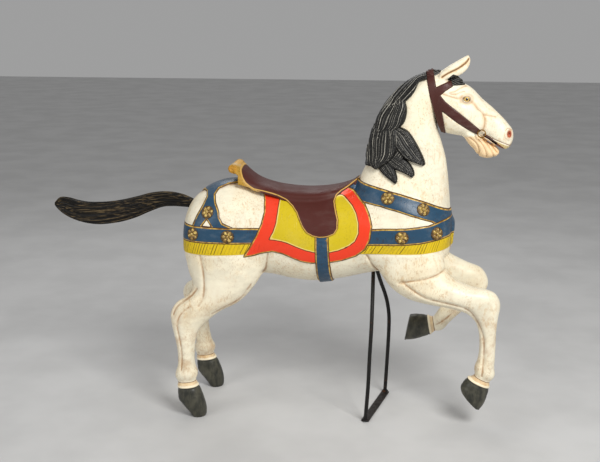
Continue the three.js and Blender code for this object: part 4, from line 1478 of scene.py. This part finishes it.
def painted_head():
    f = Finish("painted_head", 0.42, **ENAMEL)
    colour, height = aged_ivory(f, 0.25, 0.9)
    colour = f.over(colour, tint(242, 196, 134), f.note("jaw"), -2, 6, 0.6)
    soft = f.ramp(f.noise(26, 3), 0.3, 0.65, 0.1, 0.42)
    colour = f.over(colour, tint(214, 160, 92), f.note("shade"), 0.1, 1.0, soft)
    # tan along the carved lines: glaze held in them, and painted shade
    glaze_and_shade_amount = f.times(f.ramp(f.noise(40, 3), 0.25, 0.6, 0.4, 0.9), 0.6)
    colour = f.over(colour, tint(164, 120, 74), f.note("groove"), 0.25, 0.95, glaze_and_shade_amount)
    lid = f.note("lid")
    # a tan ring round the eye: painted shade in its socket
    colour = f.mix(f.times(f.band(lid, 2.0, 9.5, 2.5), 0.35), colour, tint(196, 140, 78))
    colour = f.mix(f.times(f.band(lid, 9.4, 11.4, 0.8), 0.7), colour, tint(140, 94, 48))
    # amber and dark brown along the carved ear opening: painted shade in its hollow
    colour = f.over(colour, tint(214, 160, 84), f.note("ear"), -9, -1.5, 0.45)
    colour = f.over(colour, tint(104, 66, 30), f.note("ear"), -3.2, -1.0, 0.85)
    teeth = f.over(tint(255, 232, 170), tint(92, 52, 24), f.note("gaps"), 0.6, 0.9)
    between_lips = f.ramp(f.note("mouth"), 3.6, 2.2)
    colour = f.over(colour, teeth, f.note("teeth"), -0.4, 0.6, between_lips)
    for name, low, high, amount, paint in [
        ("lip", 0.3, 0.8, 0.85, (96, 44, 24)), ("mouth", 1.6, 3.6, 0.85, (112, 44, 32)),
        # round each nostril a tan ring and, deep inside, a darker middle: painted shade; the red
        # between them is its paint
        ("nostril", -0.55, 0.05, 0.55, (170, 104, 56)),
        ("nostril", -0.02, 0.2, None, (178, 98, 70)), ("nostril", 0.45, 0.9, None, (104, 50, 36)),
    ]:
        colour = f.over(colour, tint(*paint), f.note(name), low, high, amount)
    hair = hair_with_painted_highlights(f, f.note("strand"), (112, 109, 102))
    colour = f.over(colour, hair, f.note("hair"), -0.5, 0.8)
    bridle = f.note("bridle")
    colour = f.mix(f.band(bridle, -1.6, 0.2, 0.4), colour, tint(60, 36, 22))
    strap = glazed_and_shaded(f, tint(70, 32, 26), 0.05, 0.5, 0.3, tint(30, 14, 10))
    colour = f.over(colour, strap, bridle, -0.5, 0.5)
    rough = f.ramp(f.noise(40, 3), 0.3, 0.7, 0.34, 0.5)
    rough = f.over(rough, (0.6, 0.6, 0.6, 1), bridle, -0.5, 0.5)
    return f.finish(colour, height, rough, 0.5, 0.001)


def hair_with_painted_highlights(f, strand, light=(186, 182, 170)):
    """Black, with grey painted highlights dragged over the tops of the strands."""
    streak = f.noise(90, 4, 0.65, (0.6, 0.6, 0.6))
    top = f.times(f.ramp(strand, 0.22, 0.75), f.ramp(streak, 0.30, 0.52))
    patch = f.ramp(f.noise(12, 2), 0.3, 0.6, 0.5, 1.0)
    # the painted highlight fades where the surface faces up
    normal = f.node("ShaderNodeNewGeometry").outputs["Normal"]
    sideways = f.math("ABSOLUTE", f.node("ShaderNodeSeparateXYZ", Vector=normal).outputs[1])
    patch = f.times(patch, f.ramp(sideways, 0.15, 0.5, 0.12, 1.0))
    return f.mix(f.times(top, patch), tint(19, 18, 17), tint(*light))


def painted_mane():
    f = Finish("painted_mane", 0.45, Coat_Weight=0.03, Coat_Roughness=0.3, Specular_IOR_Level=0.28)
    strand = f.note("strand")
    colour = hair_with_painted_highlights(f, strand)
    # near black in the hollows between the locks: painted shade
    colour = f.mix(f.times(f.note("hollow"), 0.8), colour, tint(16, 15, 15))
    height = f.plus(f.times(strand, 0.5), f.noise(150, 3))
    return f.finish(colour, height, None, 0.4, 0.001)


def painted_tail():
    f = Finish("painted_tail", 0.5, Coat_Weight=0.02, Coat_Roughness=0.35, Specular_IOR_Level=0.2)
    strand = f.note("strand")
    wood = f.noise(30, 4, 0.6, (0.22, 1, 1))
    worn = f.times(f.ramp(strand, 0.45, 0.95), f.ramp(wood, 0.42, 0.60))
    dashes = f.ramp(f.noise(260, 3, 0.6, (0.07, 1, 1)), 0.54, 0.64)
    worn = f.math("MAXIMUM", f.times(worn, 0.8), f.times(dashes, 0.38))
    colour = f.mix(worn, tint(12, 10, 8), tint(140, 118, 82))
    height = f.plus(f.times(strand, 0.4), f.noise(140, 3, 0.5, (0.3, 1, 1)))
    return f.finish(colour, height, f.ramp(wood, 0.3, 0.7, 0.4, 0.62), 0.4, 0.001)


def painted_saddle():
    f = Finish("painted_saddle", 0.55, Coat_Weight=0.04, Coat_Roughness=0.4,
               Specular_IOR_Level=0.28)
    leather, scroll = f.note("leather"), f.note("scroll")
    ochre = glazed_and_shaded(f, tint(180, 138, 48), 0.25, 1.0, 0.5)
    maroon = glazed_and_shaded(f, MAROON, 0.03, 0.6, 0.3)
    rubbed = f.ramp(f.noise(45, 3), 0.4, 0.6, 0.05, 0.35)
    maroon = f.over(maroon, tint(116, 60, 44), f.note("edge"), 0.25, 0.7, rubbed)
    ochre = f.over(ochre, maroon, f.along(0), -0.045, -0.03)
    colour = f.over(ochre, maroon, leather, 0, 1)
    # the cloth hides more of the flap's edge below the seat
    flap_edge = f.less(leather, f.ramp(f.along(2), 0.765, 0.742, 0.0, 3.4))
    colour = f.outlined(colour, flap_edge, (-1.1, 2.0), (2.0, 3.6), tint(206, 162, 84))
    colour = f.over(colour, glazed_and_shaded(f, tint(190, 138, 44), 0.2, 1.0, 0.4), scroll, 1.0, 2.2)
    height = f.plus(f.noise(170, 4, 0.6), f.times(f.noise(30, 2), 1.2))
    return f.finish(colour, height, f.ramp(f.noise(22, 3), 0.3, 0.7, 0.46, 0.62), 0.4, 0.0008)


def gilded():
    f = Finish("gilded_rosettes", 0.38, Metallic=0.0, Coat_Weight=0.3, Coat_Roughness=0.2)
    height = f.node("ShaderNodeNewGeometry").outputs["Pointiness"]
    patch = f.noise(260, 3, 0.6)
    gold = f.over(tint(140, 100, 34), tint(232, 204, 112), patch, 0.35, 0.65)
    worn = f.ramp(f.noise(110, 3), 0.42, 0.58, 0.0, 0.75)
    colour = f.mix(worn, gold, tint(104, 70, 34))
    # dark where the surface curves inward: painted shade between the petals
    colour = f.mix(f.ramp(height, 0.505, 0.46, 0.0, 0.9), colour, tint(58, 40, 24))
    return f.finish(colour, patch, None, 0.3, 0.0005)


def dark_ground():
    f = Finish("rosette_ground", 0.5)
    patch = f.noise(240, 3, 0.6)
    colour = f.over(tint(48, 34, 18), tint(110, 80, 32), patch, 0.35, 0.65)
    return f.finish(colour, patch, None, 0.3, 0.0005)


def amber_glass():
    f = Finish("amber_glass", 0.05, Coat_Weight=1.0, Coat_Roughness=0.02)
    iris = f.note("iris")
    rays = f.noise(600, 3)
    amber = f.over(tint(206, 164, 76), tint(236, 208, 128), rays, 0.35, 0.65)
    colour = f.over(tint(8, 6, 5), amber, iris, 4.4, 5.0)
    colour = f.over(colour, tint(150, 108, 56), iris, 8.2, 8.8)
    colour = f.over(colour, tint(222, 206, 172), iris, 9.0, 9.6)
    return f.finish(colour)


def aged_brass():
    f = Finish("aged_brass", 0.34, Metallic=1.0)
    spots = f.noise(300, 4, 0.6)
    colour = f.over(tint(52, 36, 14), tint(178, 132, 58), spots, 0.35, 0.65)
    return f.finish(colour, spots, f.ramp(spots, 0.3, 0.7, 0.28, 0.55), 0.3, 0.0004)


def black_iron(name, dark, rust, amount):
    f = Finish(name, 0.45, Metallic=0.55)
    spots = f.noise(90, 5, 0.65)
    patch = f.noise(18, 3, 0.6)
    rusty = f.times(f.ramp(spots, 0.5, 0.68), f.ramp(patch, 0.6 - amount * 0.3, 0.7), clamp=True)
    colour = f.mix(rusty, dark, rust)
    height = f.plus(f.noise(260, 4, 0.6), f.times(rusty, 0.8))
    return f.finish(colour, height, f.ramp(spots, 0.35, 0.7, 0.36, 0.66), 0.4, 0.0006)


# ---------------------------------------------------------------- putting it together
def keep(piece, slot, *nodes):
    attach(piece, "root")
    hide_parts(*nodes)


iron = black_iron("black_iron", tint(30, 29, 28), tint(96, 60, 38), 0.3)
rust = black_iron("rusty_iron", tint(34, 27, 22), tint(78, 50, 34), 0.5)
brass = aged_brass()
bar = bar_steps(iron)
for name, carve, coarse_step, fine_step, paint in (
    ("horse_body", carve_body, 5, 3, painted_body),
    ("horse_head", carve_head, 3.5, 1.8, painted_head),
    ("horse_mane", carve_mane, 4, 2, painted_mane),
    ("saddle", carve_saddle, 5, 2.5, painted_saddle),
):
    carving = carve(fine_step)
    keep(piece_of(name, carving, paint()), "painted_wood", "horse")
keep(make_rosettes(gilded(), dark_ground()), "painted_wood", "horse")
keep(piece_of("horse_tail", carve_tail(20, 132), painted_tail()), "tail_wood", "tail")
glass = amber_glass()
ring_steps = bar_steps(brass)
for side, word in ((-1, "right"), (1, "left")):
    keep(make_eye("glass_eye_" + word, side, glass), "eye_glass", "eye_" + word)
    ring = "bit_ring_" + word
    keep(make_ring("bit_ring_wire_" + word, ring_steps, ring), "bit_brass", ring)
keep(make_prop(bar, iron, rust), "prop_iron", "prop_stand")


# ---------------------------------------------------------------- floor, light and camera
def floor_finish():
    f = Finish("pale_floor", 0.85)
    colour = f.over(tint(194, 194, 194), tint(204, 204, 204), f.noise(3, 3), 0.3, 0.7)
    return f.finish(colour, f.noise(140, 3), None, 0.15, 0.001)


def lamp(name, place, aim, width, height, power, colour):
    data = bpy.data.lights.new(name, "AREA")
    data.shape, data.size, data.size_y = "RECTANGLE", width, height
    data.energy, data.color = power, colour
    light = bpy.data.objects.new(name, data)
    light.location = place
    light.rotation_euler = (Vector(aim) - Vector(place)).to_track_quat("-Z", "Y").to_euler()
    bpy.context.scene.collection.objects.link(light)


floor = bpy.data.meshes.new("studio_floor")
floor.from_pydata([(-9, -6, 0), (9, -6, 0), (9, 14, 0), (-9, 14, 0)], [], [(0, 1, 2, 3)])
piece_of("studio_floor", floor, floor_finish())
world = bpy.data.worlds.new("studio")
world.use_nodes = True
colour, strength = world.node_tree.nodes["Background"].inputs[:2]
colour.default_value, strength.default_value = (0.86, 0.86, 0.86, 1), 0.40
bpy.context.scene.world = world
bpy.context.scene.view_settings.view_transform = "Standard"
lamp("key_softbox", (2.0, -2.6, 2.9), (0.1, 0, 0.6), 1.5, 1.5, 126, (1, 0.99, 0.96))
lamp("fill_softbox", (-2.4, -2.4, 1.8), (0, 0, 0.6), 1.8, 1.8, 30, (1, 0.99, 0.97))
lamp("back_softbox", (-0.6, 2.2, 2.6), (0.1, 0, 0.7), 1.6, 1.2, 16, (1, 1, 1))

lens = bpy.data.cameras.new("studio_camera")
lens.sensor_width, lens.lens = 36.0, 60.36
camera = bpy.data.objects.new("studio_camera", lens)
look = Vector((-0.13561, 0.96489, -0.22495))
camera.location = Vector((0.083, 0, 0.605)) - look * 3.2984
camera.rotation_euler = look.to_track_quat("-Z", "Y").to_euler()
bpy.context.scene.collection.objects.link(camera)
bpy.context.scene.camera = camera
